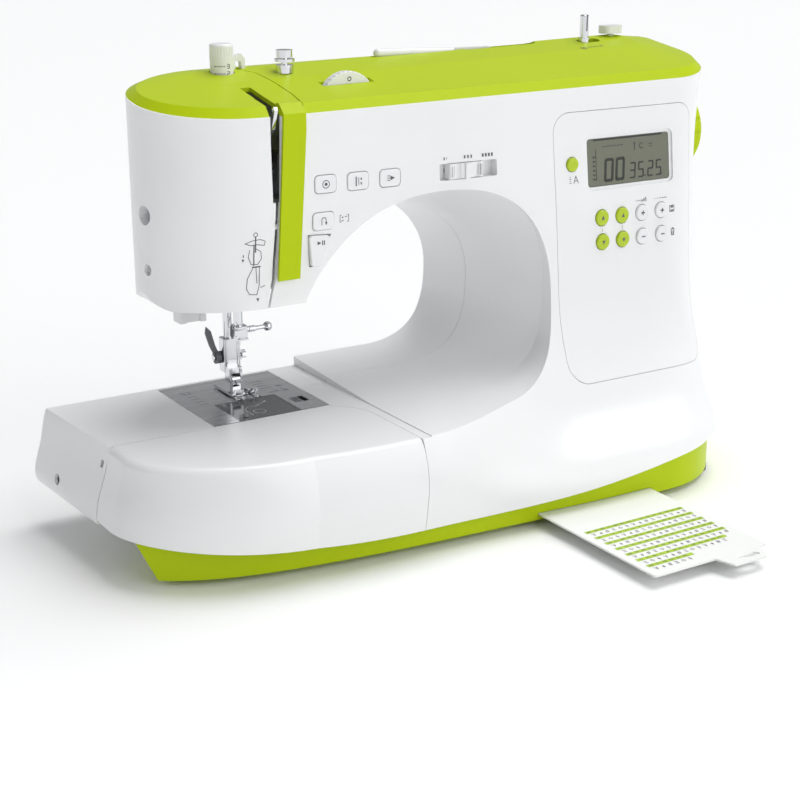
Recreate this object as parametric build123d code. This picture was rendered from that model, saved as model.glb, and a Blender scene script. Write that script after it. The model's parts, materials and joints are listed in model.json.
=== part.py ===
from build123d import *
import os
from math import cos, radians, sin

# Free-arm electronic sewing machine, in millimetres.
# +X runs along the arm towards the handwheel, +Y away from the sewer, +Z up.
# The origin is on the table, under the middle of the machine's bounding box.

# ---- driving dimensions -------------------------------------------------------------------------
WALL = 2.6                      # moulded covers
SEAM = 0.35                     # gap between neighbouring covers
BACK_Y = 150.0                  # back plane of the casing
SPLIT_Y = 105.0                 # front cover ends here, rear cover starts
ARM_START_X = -79.0             # free arm begins left of this
BOX_SEAM_X = -64.0              # right end of the accessory box
BOX_BACK_Y = 62.0               # back of the accessory box, front of the free arm
BED_Z = 74.0                    # sewing surface
STEP_X = -57.0                  # the bed steps up right of this
HEAD_Z = 146.0                  # underside of the head
RIM_Z = 259.7                   # top edge of the white casing at RIM_X, RIM_Y
RIM_X, RIM_Y = -60.0, 51.0
RIM_SLOPE_X, RIM_SLOPE_Y = 0.011, 0.17   # the edge rises to the right and to the back
FOOT_H = 4.0                    # rubber feet under the tray
SKIRT_LOW_X, SKIRT_LOW_Z = -40.0, 16.5   # lowest point of the skirt's arched lower edge
SKIRT_ARC_R = 1430.0

SHAFT_Y, SHAFT_Z = 112.0, 218.0          # upper shaft and handwheel
SHAFT_R = 4.0
RUN_FIT = 0.05                  # radial clearance of a shaft in its bearing
WHEEL_R, WHEEL_FACE_X = 30.0, 243.5
NEEDLE_X, NEEDLE_Y = -116.5, 112.0
PRESSER_Y = 128.0
BAR_R = 3.0
HOOK_X, HOOK_Y = -118.0, 88.0
HOOK_R = 20.0
PLATE = (-159.0, -79.0, 62.6, 147.0)     # needle plate, x0 x1 y0 y1
PLATE_T = 1.6
COVER = (-141.0, -99.0, 62.6, 99.5)      # bobbin cover in the plate
LCD_X, LCD_Z, LCD_Y = 145.4, 212.0, 46.2
LCD_W, LCD_H = 70.0, 31.0
LCD_TILT = 7.0                  # degrees that the pillar's face leans back
PANEL = (82.0, 202.0, 71.0, 246.0)       # control panel outline, x0 x1 z0 z1
BUTTON_GAP = 0.4

# Heights at which the casing's plan outline is given, and the outline's values there.
LEVELS = (12, 24, 34, 44, 56, 66, 76, 92, 116, 146, 190, 230, 264, 284)
ARM_FRONT = (-26, -28.5, -30, -31, -30, -27, -22, -2, 32, 50.5, 50.5, 50.5, 50.5, 50.5)
PILLAR_FRONT = (-34.5, -34, -26.5, -13.5, 2, 12, 20, 28, 35, 38.5, 43, 48, 51, 52)
RIGHT_SIDE = (205, 206, 210, 214, 219, 223, 226, 227, 226.5, 226.5, 228, 232, 237, 238.5)
CORNER = (68, 68, 66, 63, 59, 56, 54, 52, 50, 50, 50, 50, 50, 50)
HEAD_LEFT = (-186.5,) * 14
HEAD_CORNER_X, HEAD_CORNER_Y = 62.0, 46.0        # size of the head's front left corner
HEAD_BACK_X, HEAD_BACK_Y = 63.0, 51.0            # size of its back left corner
HEAD_ROUND = 10.0               # rounding along the head's lower left edge
BACK_CORNER = 16.0
MORPH_X0, MORPH_X1 = -60.0, 75.0         # the front face changes over from arm to pillar here
ROUND = 0.5523                  # handle length of a cubic that stands for a quarter circle

NODES = {}


# ---- helpers ------------------------------------------------------------------------------------
def block(x0, x1, y0, y1, z0, z1):
    """Box given by its limits."""
    size = (x1 - x0, y1 - y0, z1 - z0)
    return Pos((x0 + x1) / 2, (y0 + y1) / 2, (z0 + z1) / 2) * Box(*size)


def rod_x(y, z, r, x0, x1):
    return Pos((x0 + x1) / 2, y, z) * Rot(0, 90, 0) * Cylinder(r, x1 - x0)


def rod_y(x, z, r, y0, y1):
    return Pos(x, (y0 + y1) / 2, z) * Rot(90, 0, 0) * Cylinder(r, y1 - y0)


def rod_z(x, y, r, z0, z1):
    return Pos(x, y, (z0 + z1) / 2) * Cylinder(r, z1 - z0)


def slab_xz(points, y0, y1):
    """Prism along Y with a polygon outline in XZ."""
    face = make_face(Polyline([(x, y0, z) for x, z in points], close=True))
    return extrude(face, amount=y1 - y0, dir=(0, 1, 0))


def slab_xy(points, z0, z1):
    """Prism along Z with a polygon outline in XY."""
    face = make_face(Polyline([(x, y, z0) for x, y in points], close=True))
    return extrude(face, amount=z1 - z0, dir=(0, 0, 1))


def round_slab_y(x, z, width, height, radius, y0, y1):
    """Rounded rectangle in XZ, drawn out along Y."""
    face = Plane(origin=(x, y0, z), x_dir=(1, 0, 0), z_dir=(0, 1, 0)) * RectangleRounded(width, height, radius)
    return extrude(face, amount=y1 - y0, dir=(0, 1, 0))


def round_slab_z(x, y, width, depth, radius, z0, z1):
    """Rounded rectangle in XY, drawn out along Z."""
    return extrude(Pos(x, y, z0) * RectangleRounded(width, depth, radius), amount=z1 - z0)


def soften(shape, edges, radius):
    """Fillet where the kernel manages it; the shape stays sharp otherwise."""
    try:
        return fillet(edges, radius)
    except Exception:
        return shape


def quarter(x0, y0, x1, y1, at, start_along_x):
    """Quarter-round curve from one tangent point to the other; at() gives each point its height."""
    if start_along_x:
        a = at(x0 + (x1 - x0) * ROUND, y0)
        b = at(x1, y1 - (y1 - y0) * ROUND)
    else:
        a = at(x0, y0 + (y1 - y0) * ROUND)
        b = at(x1 - (x1 - x0) * ROUND, y1)
    return Bezier(at(x0, y0), a, b, at(x1, y1))


def ring(z, left, right, arm_y, pillar_y, back, corner, head, tail, back_r, slope=(0.0, 0.0)):
    """Plan outline of the casing at one height, as a face; head and tail are the sizes of the left corners."""
    hx, hy = head
    tx, ty = tail
    swing = (MORPH_X1 - MORPH_X0) / 3

    def at(x, y):
        return (x, y, z + slope[0] * (x - RIM_X) + slope[1] * (y - RIM_Y))

    edges = [
        Line(at(left, back - ty), at(left, arm_y + hy)),
        quarter(left, arm_y + hy, left + hx, arm_y, at, False),
        Line(at(left + hx, arm_y), at(MORPH_X0, arm_y)),
        Bezier(at(MORPH_X0, arm_y), at(MORPH_X0 + swing, arm_y),
               at(MORPH_X1 - swing, pillar_y), at(MORPH_X1, pillar_y)),
        Line(at(MORPH_X1, pillar_y), at(right - corner, pillar_y)),
        quarter(right - corner, pillar_y, right, pillar_y + corner, at, True),
        Line(at(right, pillar_y + corner), at(right, back - back_r)),
        quarter(right, back - back_r, right - back_r, back, at, False),
        Line(at(right - back_r, back), at(left + tx, back)),
        quarter(left + tx, back, left, back - ty, at, True),
    ]
    return make_face(Wire(edges))


def casing_form(inset=0.0):
    """Outer form of the casing before the harp is cut, pulled in by inset."""
    rings = []
    rows = zip(LEVELS, HEAD_LEFT, RIGHT_SIDE, ARM_FRONT, PILLAR_FRONT, CORNER)
    for z, left, right, arm_y, pillar_y, corner in rows:
        rings.append(ring(z, left + inset, right - inset, arm_y + inset, pillar_y + inset, BACK_Y - inset,
                          corner - inset, (HEAD_CORNER_X - inset, HEAD_CORNER_Y - inset),
                          (HEAD_BACK_X - inset, HEAD_BACK_Y - inset), BACK_CORNER - inset))
    return loft(rings)


def harp_face(y, right, top, bed, grow):
    """Outline of the space under the arm at one depth."""
    tip_x, tip_z = -100.0 - grow, 147.0
    right, top, bed = right + grow, top + grow, bed - grow
    mid_x, side_z, heel_x = -5.0, 133.0, right - 51.0
    edges = [
        Line((tip_x, y, bed), (tip_x, y, tip_z)),
        Bezier((tip_x, y, tip_z), (-80 - grow, y, tip_z + 0.56 * (top - tip_z)), (-55, y, top), (mid_x, y, top)),
        Bezier((mid_x, y, top), (right - 30.5, y, top), (right, y, top - 21), (right, y, side_z)),
        Bezier((right, y, side_z), (right, y, bed + 21), (right - 10, y, bed), (heel_x, y, bed)),
        Line((heel_x, y, bed), (tip_x, y, bed)),
    ]
    return make_face(Wire(edges))


def harp_form(grow=0.0):
    """The space under the arm: wide at the front, narrower at the back."""
    front = harp_face(46, 75.5, 206, 74.6, grow)
    middle = harp_face(92, 57, 191, 77, grow)
    back = harp_face(BACK_Y + 6, 48.5, 187, 80.5, grow)
    return loft([front, middle, back]) + extrude(front, amount=106, dir=(0, -1, 0))


def under_head_form(grow=0.0):
    """Everything that is free below the head and left of the pillar."""
    head_gap = block(-300, -99 - grow, -60, 160, BED_Z - grow, HEAD_Z + grow)
    step = block(-200, STEP_X, -60, 160, BED_Z - grow, 110)
    round_x, round_z = HEAD_LEFT[9] + HEAD_ROUND, HEAD_Z + HEAD_ROUND
    toe = block(-300, round_x, -60, 160, HEAD_Z - 1, round_z)
    return head_gap + step + (toe - rod_y(round_x, round_z, HEAD_ROUND - grow, -70, 170))


def left_of_body(grow=0.0):
    """What belongs to the free arm and the accessory box, below the bed."""
    arm = block(-300, ARM_START_X + grow, -60, 170, 0, BED_Z + 20)
    box = block(-300, BOX_SEAM_X + grow, -60, BOX_BACK_Y - 30, 0, BED_Z + 20)
    heel = block(-300, BOX_SEAM_X + grow, -60, BOX_BACK_Y + grow, 0, BED_Z + 20)
    rounding = rod_z(BOX_SEAM_X - 30, BOX_BACK_Y - 30, 30 + grow, 0, BED_Z + 20)
    corner = block(BOX_SEAM_X - 30, BOX_SEAM_X + grow + 1, BOX_BACK_Y - 30, BOX_BACK_Y + grow + 1, 0, BED_Z + 20)
    return arm + box + (heel - corner) + rounding


def skirt_limit():
    """Keeps what lies above the skirt's arched lower edge."""
    return rod_y(SKIRT_LOW_X, SKIRT_LOW_Z + SKIRT_ARC_R, SKIRT_ARC_R, -100, 200)


# ---- casing -------------------------------------------------------------------------------------
def make_casing():
    """Casing shell, still in one piece, with the pocket for the handwheel."""
    rim_plane = Plane(origin=(RIM_X, RIM_Y, RIM_Z), x_dir=(1, 0, RIM_SLOPE_X),
                      z_dir=(-RIM_SLOPE_X, -RIM_SLOPE_Y, 1))
    rim = rim_plane.location * Pos(0, 0, -200) * Box(900, 900, 400)
    outer = casing_form() - harp_form() - under_head_form()
    outer = outer & rim & skirt_limit()
    outer = outer - left_of_body(SEAM)
    inner = casing_form(WALL) - harp_form(WALL) - under_head_form(WALL)
    shell = outer - inner
    mouth = rod_x(SHAFT_Y, SHAFT_Z, WHEEL_R + 1.6, 217, 260)
    cup = rod_x(SHAFT_Y, SHAFT_Z, WHEEL_R + 3.6, 215, 260) & outer
    cup = cup - mouth - rod_x(SHAFT_Y, SHAFT_Z, SHAFT_R + 2, 210, 220)
    return (shell - mouth) + cup, outer


casing, casing_solid = make_casing()
# the low part of the bed beside the needle plate, and the step up from it
bed_floor = block(ARM_START_X - 5, STEP_X + WALL, -60, 160, BED_Z - WALL, BED_Z)
bed_step = block(STEP_X, STEP_X + WALL, -60, 160, BED_Z - WALL, BED_Z + 9)
casing = casing + ((bed_floor + bed_step) & casing_solid)

# The line where the face cover meets the front cover follows the thread slot.
FACE_LINE = ((-117.2, 300), (-117.2, 250), (-122.2, 163), (-127.0, 144), (-127.0, 100))
BODY_LINE = ((-114.3, 300), (-114.3, 250), (-119.3, 163), (-125.6, 144), (-125.6, 100))
face_region = slab_xz([(-300, 300)] + list(FACE_LINE) + [(-300, 100)], -100, 200)
body_region = slab_xz(list(BODY_LINE) + [(-99, 100), (-99, 0), (300, 0), (300, 300)], -100, 200)

face_cover = casing & face_region
take_up_slot = slab_xz([(-121.4, RIM_Z + 8), (-114.2, RIM_Z + 8), (-114.2, 250), (-116.0, 209), (-121.4, 209)], 40, 80)
buttonhole_gap = block(-157.0, -137.0, 111, 125, 140, 152)
face_cover = face_cover - take_up_slot - buttonhole_gap
face_cover = face_cover - rod_x(90, 202, 5.8, -200, -180) - rod_x(90, 169, 3.4, -200, -180)
# a floor behind the large hole, which the screw passes through
face_cover = face_cover + (rod_x(90, 202, 7.6, -193, -178) - rod_x(90, 202, 5.8, -200, -180)
                           - rod_x(90, 202, 2.2, -200, -170)) & casing_solid
NODES["face_cover"] = face_cover

body = casing & body_region
bar_gap = block(-123.5, -107, 99, 134, 140, 152)
lifter_gap = block(-110, -64, 139.8, 145.5, 140, 180)
body = body - take_up_slot - bar_gap - lifter_gap
front_cover = body & block(-300, 300, -100, SPLIT_Y - SEAM / 2, 0, 300)
rear_cover = body & block(-300, 300, SPLIT_Y + SEAM / 2, 200, 0, 300)


# ---- control panel ------------------------------------------------------------------------------
def panel_prism(margin):
    """Rounded window through the front of the pillar."""
    x0, x1, z0, z1 = PANEL
    return round_slab_y((x0 + x1) / 2, (z0 + z1) / 2, x1 - x0 + 2 * margin, z1 - z0 + 2 * margin,
                        13 + margin, -60, 88)


lcd_plane = Plane(origin=(LCD_X, LCD_Y, LCD_Z), x_dir=(1, 0, 0),
                  z_dir=(0, -cos(radians(LCD_TILT)), sin(radians(LCD_TILT))))


def lcd_slab(width, height, radius, depth, thickness):
    """Rounded slab parallel to the display; depth is how far its outer face lies behind the panel's."""
    face = lcd_plane.offset(-depth) * RectangleRounded(width, height, radius)
    return extrude(face, amount=-thickness)


PAD_COLUMNS = (119.5, 136.7, 154.0, 171.0)
PAD_ROWS = (175.8, 159.8)
PAD_NAMES = (("length_up", "width_up", "plus_left", "plus_right"),
             ("length_down", "width_down", "minus_left", "minus_right"))
PAD_R = 5.3
PAD_FACE_Y = (40.0, 38.2)       # front of each row of buttons
MODE_X, MODE_Z, MODE_R, MODE_FACE_Y = 96.3, 212.8, 4.6, 44.4


def round_button(x, z, r, face_y):
    """Domed push button with a retaining flange behind the panel."""
    cap = rod_y(x, z, r, face_y, face_y + 6.2)
    cap = soften(cap, cap.edges().group_by(Axis.Y)[0], 0.9)
    return cap + rod_y(x, z, r + 1.2, face_y + 6.2, face_y + 7.6)


panel = front_cover & panel_prism(0)
front_cover = front_cover - panel_prism(SEAM)
window_recess = lcd_slab(LCD_W + 5, LCD_H + 5, 4.5, -6, 7.0)
window_hole = lcd_slab(LCD_W + 0.6, LCD_H + 0.6, 2.3, -6, 20)
panel = panel + (lcd_slab(LCD_W + 9, LCD_H + 9, 5, 1.6, 3.6))
panel = panel - window_recess - window_hole
panel = panel - rod_y(MODE_X, MODE_Z, MODE_R + BUTTON_GAP, 20, 80)
for row, z in enumerate(PAD_ROWS):
    for column, x in enumerate(PAD_COLUMNS):
        panel = panel - rod_y(x, z, PAD_R + BUTTON_GAP, 20, 80)
        NODES["button_" + PAD_NAMES[row][column]] = round_button(x, z, PAD_R, PAD_FACE_Y[row])
NODES["button_mode"] = round_button(MODE_X, MODE_Z, MODE_R, MODE_FACE_Y)
NODES["control_panel"] = panel
NODES["lcd_display"] = lcd_slab(LCD_W, LCD_H, 2.0, 1.4, 5.0) + lcd_slab(LCD_W + 6, LCD_H + 6, 1.0, 5.4, 4.0)

# ---- front buttons and speed slider ---------------------------------------------------------------
KEY_FACE_Y = 49.3
KEYS = {"button_lock": (-86.1, 217.0), "button_needle": (-63.7, 216.7), "button_slow": (-41.0, 216.5),
        "button_reverse": (-87.9, 194.8)}
KEY_W, KEY_H = 14.6, 10.6
START_KEY = ((-98.0, 187.0), (-82.8, 186.0), (-90.2, 167.6), (-96.4, 167.6))
KEY_BACK_Y = 56.4


def key_cap(x, z):
    """Rounded rectangular push button with a flange."""
    cap = round_slab_y(x, z, KEY_W, KEY_H, 2.6, KEY_FACE_Y, KEY_BACK_Y)
    cap = soften(cap, cap.faces().sort_by(Axis.Y)[0].edges(), 0.7)
    return cap + round_slab_y(x, z, KEY_W + 2.6, KEY_H + 2.6, 3.4, KEY_BACK_Y, KEY_BACK_Y + 1.4)


for name, (x, z) in KEYS.items():
    front_cover = front_cover - round_slab_y(x, z, KEY_W + 2 * BUTTON_GAP, KEY_H + 2 * BUTTON_GAP, 3.0, 30, 60)
    NODES[name] = key_cap(x, z)


def start_outline(grow):
    """Tapered outline of the start and stop button."""
    (x0, z0), (x1, z1), (x2, z2), (x3, z3) = START_KEY
    return [(x0 - grow, z0 + grow), (x1 + grow * 1.4, z1 + grow), (x2 + grow, z2 - grow), (x3 - grow, z3 - grow)]


start_cap = slab_xz(start_outline(0), KEY_FACE_Y, KEY_BACK_Y)
start_cap = soften(start_cap, start_cap.edges().filter_by(Axis.Y), 2.2)
start_cap = soften(start_cap, start_cap.faces().sort_by(Axis.Y)[0].edges(), 0.7)
NODES["button_start"] = start_cap + slab_xz(start_outline(1.3), KEY_BACK_Y, KEY_BACK_Y + 1.4)
front_cover = front_cover - slab_xz(start_outline(BUTTON_GAP), 30, 60)

SPEED_X0, SPEED_X1, SPEED_Z = -5.4, 37.0, 216.4
speed_tray_y = 53.6
front_cover = front_cover - round_slab_y((SPEED_X0 + SPEED_X1) / 2, SPEED_Z, SPEED_X1 - SPEED_X0, 10.4, 1.2, 30, 60)
front_cover = front_cover + (block(SPEED_X0 - 2, SPEED_X1 + 2, 48.2, speed_tray_y + 1.6, SPEED_Z - 7, SPEED_Z + 7)
                             & casing_form(1.2)
                             - block(SPEED_X0, SPEED_X1, 30, speed_tray_y, SPEED_Z - 5.2, SPEED_Z + 5.2)
                             - block(SPEED_X0 + 6, SPEED_X1 - 6, 30, 60, SPEED_Z - 1.5, SPEED_Z + 1.5))
knob = block(1.0, 26.5, 46.6, speed_tray_y - 0.4, SPEED_Z - 4.8, SPEED_Z + 4.8)
knob = soften(knob, knob.faces().sort_by(Axis.Y)[0].edges(), 1.0)
knob = knob - rod_z(6.5, 44.6, 3.6, SPEED_Z - 6, SPEED_Z + 6) - rod_z(21.0, 44.6, 3.6, SPEED_Z - 6, SPEED_Z + 6)
ridge = block(12.2, 15.4, 45.2, 48.2, SPEED_Z - 4.8, SPEED_Z + 4.8)
stem = block(10.5, 17.0, speed_tray_y - 0.4, speed_tray_y + 4, SPEED_Z - 1.2, SPEED_Z + 1.2)
NODES["speed_slider"] = knob + ridge + stem

# ---- base, feet, card -------------------------------------------------------------------------------
TRAY_BOTTOM = ((-219, 17.5), (-129, -12.4), (-77, -18.7), (22, -26), (102.7, -29.7))
TRAY_CORNER_R, TRAY_RIGHT, TRAY_BACK_Y = 73.0, 201.5, 146.0
TONGUE_RIGHT, TONGUE_LEFT, TONGUE_BACK_Y = -70.0, -186.0, 58.0
LEAN_X, LEAN_Y = -0.42, 0.35    # the tongue's left end leans out by this much per millimetre of height


def tray_face(z, grow):
    """Outline of the tray: a tongue under the accessory box, and the foot of the pillar."""
    rise = z - FOOT_H
    start = (TRAY_BOTTOM[0][0] + LEAN_X * rise - 0.6 * grow, TRAY_BOTTOM[0][1] + LEAN_Y * rise - 0.8 * grow, z)
    front = [(x, y - grow, z) for x, y in TRAY_BOTTOM[1:]]
    right, back = TRAY_RIGHT + grow, TRAY_BACK_Y + grow
    inner_x, tongue_y = TONGUE_RIGHT - grow, TONGUE_BACK_Y + grow
    tongue_x = TONGUE_LEFT + LEAN_X * rise - grow
    corner_y = front[-1][1]

    def at(x, y):
        return (x, y, z)

    edges = [
        Spline([start] + front, tangents=[(1, -0.75, 0), (1, 0, 0)]),
        Line(front[-1], (right - TRAY_CORNER_R, corner_y, z)),
        quarter(right - TRAY_CORNER_R, corner_y, right, corner_y + TRAY_CORNER_R, at, True),
        Line((right, corner_y + TRAY_CORNER_R, z), (right, back - BACK_CORNER, z)),
        quarter(right, back - BACK_CORNER, right - BACK_CORNER, back, at, False),
        Line((right - BACK_CORNER, back, z), (inner_x, back, z)),
        Line((inner_x, back, z), (inner_x, tongue_y, z)),
        Line((inner_x, tongue_y, z), (tongue_x, tongue_y, z)),
        Line((tongue_x, tongue_y, z), start),
    ]
    return make_face(Wire(edges))


TRAY_TOP_Z, TONGUE_TOP_Z = 36.0, 29.5
TRAY_WALL, TRAY_FLOOR_Z = 3.0, 12.0
CARD_Z, CARD_T = 7.0, 1.2
CARD_X0, CARD_X1 = 22.5, 111.0
CARD_FRONT_Y, CARD_BACK_Y = -137.0, -15.0
TAB_FRONT_Y = -150.0

card = slab_xy([(CARD_X0, CARD_BACK_Y), (CARD_X0, CARD_FRONT_Y), (69, CARD_FRONT_Y), (70.5, -142.5),
                (73, TAB_FRONT_Y), (98, TAB_FRONT_Y), (102.5, -142.5), (104, CARD_FRONT_Y),
                (CARD_X1, CARD_FRONT_Y), (CARD_X1, CARD_BACK_Y)], CARD_Z, CARD_Z + CARD_T)
card = soften(card, card.edges().filter_by(Axis.Z), 1.6)
card = card - slab_xy([(80, -143.5), (95, -146.5), (97.5, -144.5), (95, -141.5)], 0, 20)
NODES["reference_card"] = card

FEET = ((-196, 30), (-100, 20), (176, 0), (186, 128), (-52, 128))
feet = Compound([rod_z(x, y, 9, 0, FOOT_H) for x, y in FEET])
NODES["rubber_feet"] = feet

# ---- accessory box ------------------------------------------------------------------------------
BOX_FLOOR_Z = 31.0


def box_face(z, front_y, left_x, inset):
    """Plan outline of the accessory box at one height."""
    back = BOX_BACK_Y - SEAM - inset * 0.5
    left = left_x + inset
    seam_x = BOX_SEAM_X
    edges = [
        Line((left, back, z), (left, 40, z)),
        Bezier((left, 40, z), (left + 2, 10 + inset, z), (left + 45, front_y + 6 + inset, z),
               (-135, front_y + 5.5 + inset, z)),
        Bezier((-135, front_y + 5.5 + inset, z), (-110, front_y + 1.2 + inset, z),
               (-90, front_y + 0.2 + inset, z), (seam_x, front_y + inset, z)),
        Line((seam_x, front_y + inset, z), (seam_x, back, z)),
        Line((seam_x, back, z), (left, back, z)),
    ]
    return make_face(Wire(edges))


BOX_LEVELS = (12, 24, 34, 44, 56, 66, BED_Z)
BOX_LEFT = (-238.5, -238, -237, -235, -231, -228.5, -226.5)


def box_form(inset, top):
    """Outer form of the accessory box up to a given height."""
    faces = []
    for z, left_x in zip(BOX_LEVELS, BOX_LEFT):
        front_y = ARM_FRONT[BOX_LEVELS.index(z)]
        faces.append(box_face(z, front_y, left_x, inset))
    return loft(faces) & block(-300, 0, -100, 100, 0, top)


keep_box = left_of_body(0) - block(-300, 0, BOX_BACK_Y - SEAM, 200, 0, 100)
box_outer = box_form(0, BED_Z) & skirt_limit() & keep_box
box_outer = soften(box_outer, [e for e in box_outer.edges().filter_by(lambda e: e.center().Z > BED_Z - 0.2)
                               if e.center().Y < 40 and e.center().X < BOX_SEAM_X - 2], 5.0)
skirt_room = box_form(WALL, BOX_FLOOR_Z) + block(-230, -60, 20, BOX_BACK_Y + 1, 0, BOX_FLOOR_Z)
accessory_box = box_outer - (skirt_room & block(-300, 0, -100, 100, 0, BOX_FLOOR_Z))
bin_room = box_form(WALL + 0.6, BED_Z - 3.2) & block(-300, BOX_SEAM_X - 3, -100, 54, BOX_FLOOR_Z + WALL, 100)
bin_room = bin_room & block(-222, BOX_SEAM_X - 3, -100, 100, 0, 100)
bin_mouth = block(-205, -92, 50, BOX_BACK_Y + 2, BOX_FLOOR_Z + WALL + 4, BED_Z - 7)
accessory_box = accessory_box - bin_room - bin_mouth
NODES["accessory_box"] = accessory_box


def tray_form(grow, inset):
    """The upper part of the tray, held inside the skirt of the casing and of the accessory box."""
    prism = loft([tray_face(TRAY_FLOOR_Z, grow), tray_face(TRAY_TOP_Z, grow)])
    tongue_end = BOX_SEAM_X + 0.7
    foot = prism & block(tongue_end, 300, -100, 200, TRAY_FLOOR_Z, TRAY_TOP_Z) & casing_form(inset)
    tongue = prism & block(-300, tongue_end, -100, 200, TRAY_FLOOR_Z, TONGUE_TOP_Z) & box_form(inset, TONGUE_TOP_Z)
    return foot, tongue


foot, tongue = tray_form(0, WALL + 0.5)
tray = loft([tray_face(FOOT_H, 0), tray_face(TRAY_FLOOR_Z, 0)]) + foot + tongue
for part in tray_form(-TRAY_WALL, WALL + 0.5 + TRAY_WALL):
    tray = tray - part
tray = tray - block(CARD_X0 - 0.5, CARD_X1 + 0.5, -60, 112, CARD_Z - 0.5, CARD_Z + CARD_T + 0.5)
tray = tray - block(-80, -50, 118, 146, 28, 50)
NODES["base_tray"] = tray

# ---- free arm ---------------------------------------------------------------------------------------
ARM_LEVELS = ((27.5, -237.0, -242.0), (33, -237.2, -243.5), (44, -235.0, -241.5), (58, -230.5, -237.5),
              (BED_Z, -226.6, -233.4))


def arm_form(inset, z_lift):
    """Free arm: a box whose left end bulges towards the bottom."""
    faces = []
    for z, front_x, back_x in ARM_LEVELS:
        height = max(z, ARM_LEVELS[0][0] + z_lift)
        outline = [(front_x + inset, BOX_BACK_Y + SEAM + inset), (back_x + inset, BACK_Y - inset),
                   (ARM_START_X - SEAM + inset * 4, BACK_Y - inset),
                   (ARM_START_X - SEAM + inset * 4, BOX_BACK_Y + SEAM + inset)]
        faces.append(make_face(Polyline([(x, y, height) for x, y in outline], close=True)))
    return loft(faces)


free_arm = arm_form(0, 0)
arm_room = arm_form(WALL, WALL) & block(-300, 0, 0, 200, 0, BED_Z - WALL)
free_arm = free_arm - arm_room
px0, px1, py0, py1 = PLATE
plate_seat = block(px0 - 0.2, px1 + 5, py0 - 5, py1 + 0.2, BED_Z - PLATE_T, BED_Z + 5)
plate_opening = block(px0 + 5, px1 + 5, BOX_BACK_Y + 3.2, py1 - 4, 60, BED_Z + 5)
free_arm = free_arm - plate_seat - plate_opening
free_arm = free_arm - rod_x(118, 38, 3.6, -250, -230)
free_arm = free_arm - block(-250, -226, 66, 69.5, 60, 64.5)
NODES["free_arm_cover"] = free_arm

# ---- needle plate, bobbin cover ------------------------------------------------------------------------
FEED_Y0, FEED_Y1 = 101.5, 124.5
FEED_BARS = (NEEDLE_X - 6.6, NEEDLE_X + 6.6)
FEED_BAR_W, FEED_TRAVEL = 3.2, 1.8
PLATE_SCREWS = ((-146.4, 132.3), (-90.9, 107.5))
LATCH = (-94.4, -88.2, 77.5, 87.5)
cx0, cx1, cy0, cy1 = COVER

plate = block(px0, px1, py0, py1, BED_Z - PLATE_T, BED_Z)
plate = soften(plate, [e for e in plate.edges().filter_by(Axis.Z) if e.center().X < px0 + 1], 2.0)
plate = plate - block(cx0 - 0.3, cx1 + 0.3, cy0 - 2, cy1 + 0.3, 60, 80)
plate = plate - round_slab_z(NEEDLE_X, NEEDLE_Y, 8.4, 2.6, 1.2, 60, 80)
for bar_x in FEED_BARS:
    plate = plate - block(bar_x - FEED_BAR_W / 2 - 0.7, bar_x + FEED_BAR_W / 2 + 0.7,
                          FEED_Y0 - FEED_TRAVEL - 0.5, FEED_Y1 + FEED_TRAVEL + 0.5, 60, 80)
for x, y in PLATE_SCREWS:
    plate = plate - rod_z(x, y, 2.1, 60, 80) - Pos(x, y, BED_Z - 0.4) * Cylinder(3.5, 0.9)
lx0, lx1, ly0, ly1 = LATCH
plate = plate - block(lx0 - 0.3, lx1 + 3.3, ly0 - 0.3, ly1 + 0.3, 60, 80)
for step in range(5):
    plate = plate - block(-104, -99.6, 103.5 + 5 * step, 104.1 + 5 * step, BED_Z - 0.25, 80)
NODES["needle_plate"] = plate

bobbin_cover = block(cx0, cx1, cy0, cy1, BED_Z - PLATE_T, BED_Z - 0.1)
bobbin_cover = bobbin_cover - rod_z(cx0 + 6, cy0 + 5, 1.6, 60, 80)
NODES["bobbin_cover"] = bobbin_cover
latch = block(lx0, lx1, ly0, ly1, BED_Z - 3.4, BED_Z - 0.2)
for groove in range(3):
    latch = latch - block(lx0, lx1, ly0 + 2.4 + 2.4 * groove, ly0 + 3.2 + 2.4 * groove, BED_Z - 0.6, BED_Z + 1)
NODES["cover_latch"] = latch

# ---- feed dogs -------------------------------------------------------------------------------------
def toothed_bar(x):
    """One feed bar with its row of teeth."""
    low, high, pitch = BED_Z - 3.9, BED_Z + 0.4, 1.5
    count = int((FEED_Y1 - FEED_Y0) / pitch)
    points = [(FEED_Y0, low), (FEED_Y0, high - 0.7)]
    for tooth in range(count):
        y = FEED_Y0 + tooth * pitch
        points += [(y + pitch * 0.8, high), (y + pitch, high - 0.7)]
    points.append((FEED_Y0 + count * pitch, low))
    face = make_face(Polyline([(x - FEED_BAR_W / 2, y, z) for y, z in points], close=True))
    return extrude(face, amount=FEED_BAR_W, dir=(1, 0, 0))


feed = toothed_bar(FEED_BARS[0]) + toothed_bar(FEED_BARS[1])
for bar_x in FEED_BARS:
    feed = feed + block(bar_x - FEED_BAR_W / 2, bar_x + FEED_BAR_W / 2, 116, 124, 61.4, BED_Z - 3)
feed = feed + block(FEED_BARS[0] - FEED_BAR_W / 2, FEED_BARS[1] + FEED_BAR_W / 2, 116, 124, 61.4, 65.4)
NODES["feed_dogs"] = feed

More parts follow.
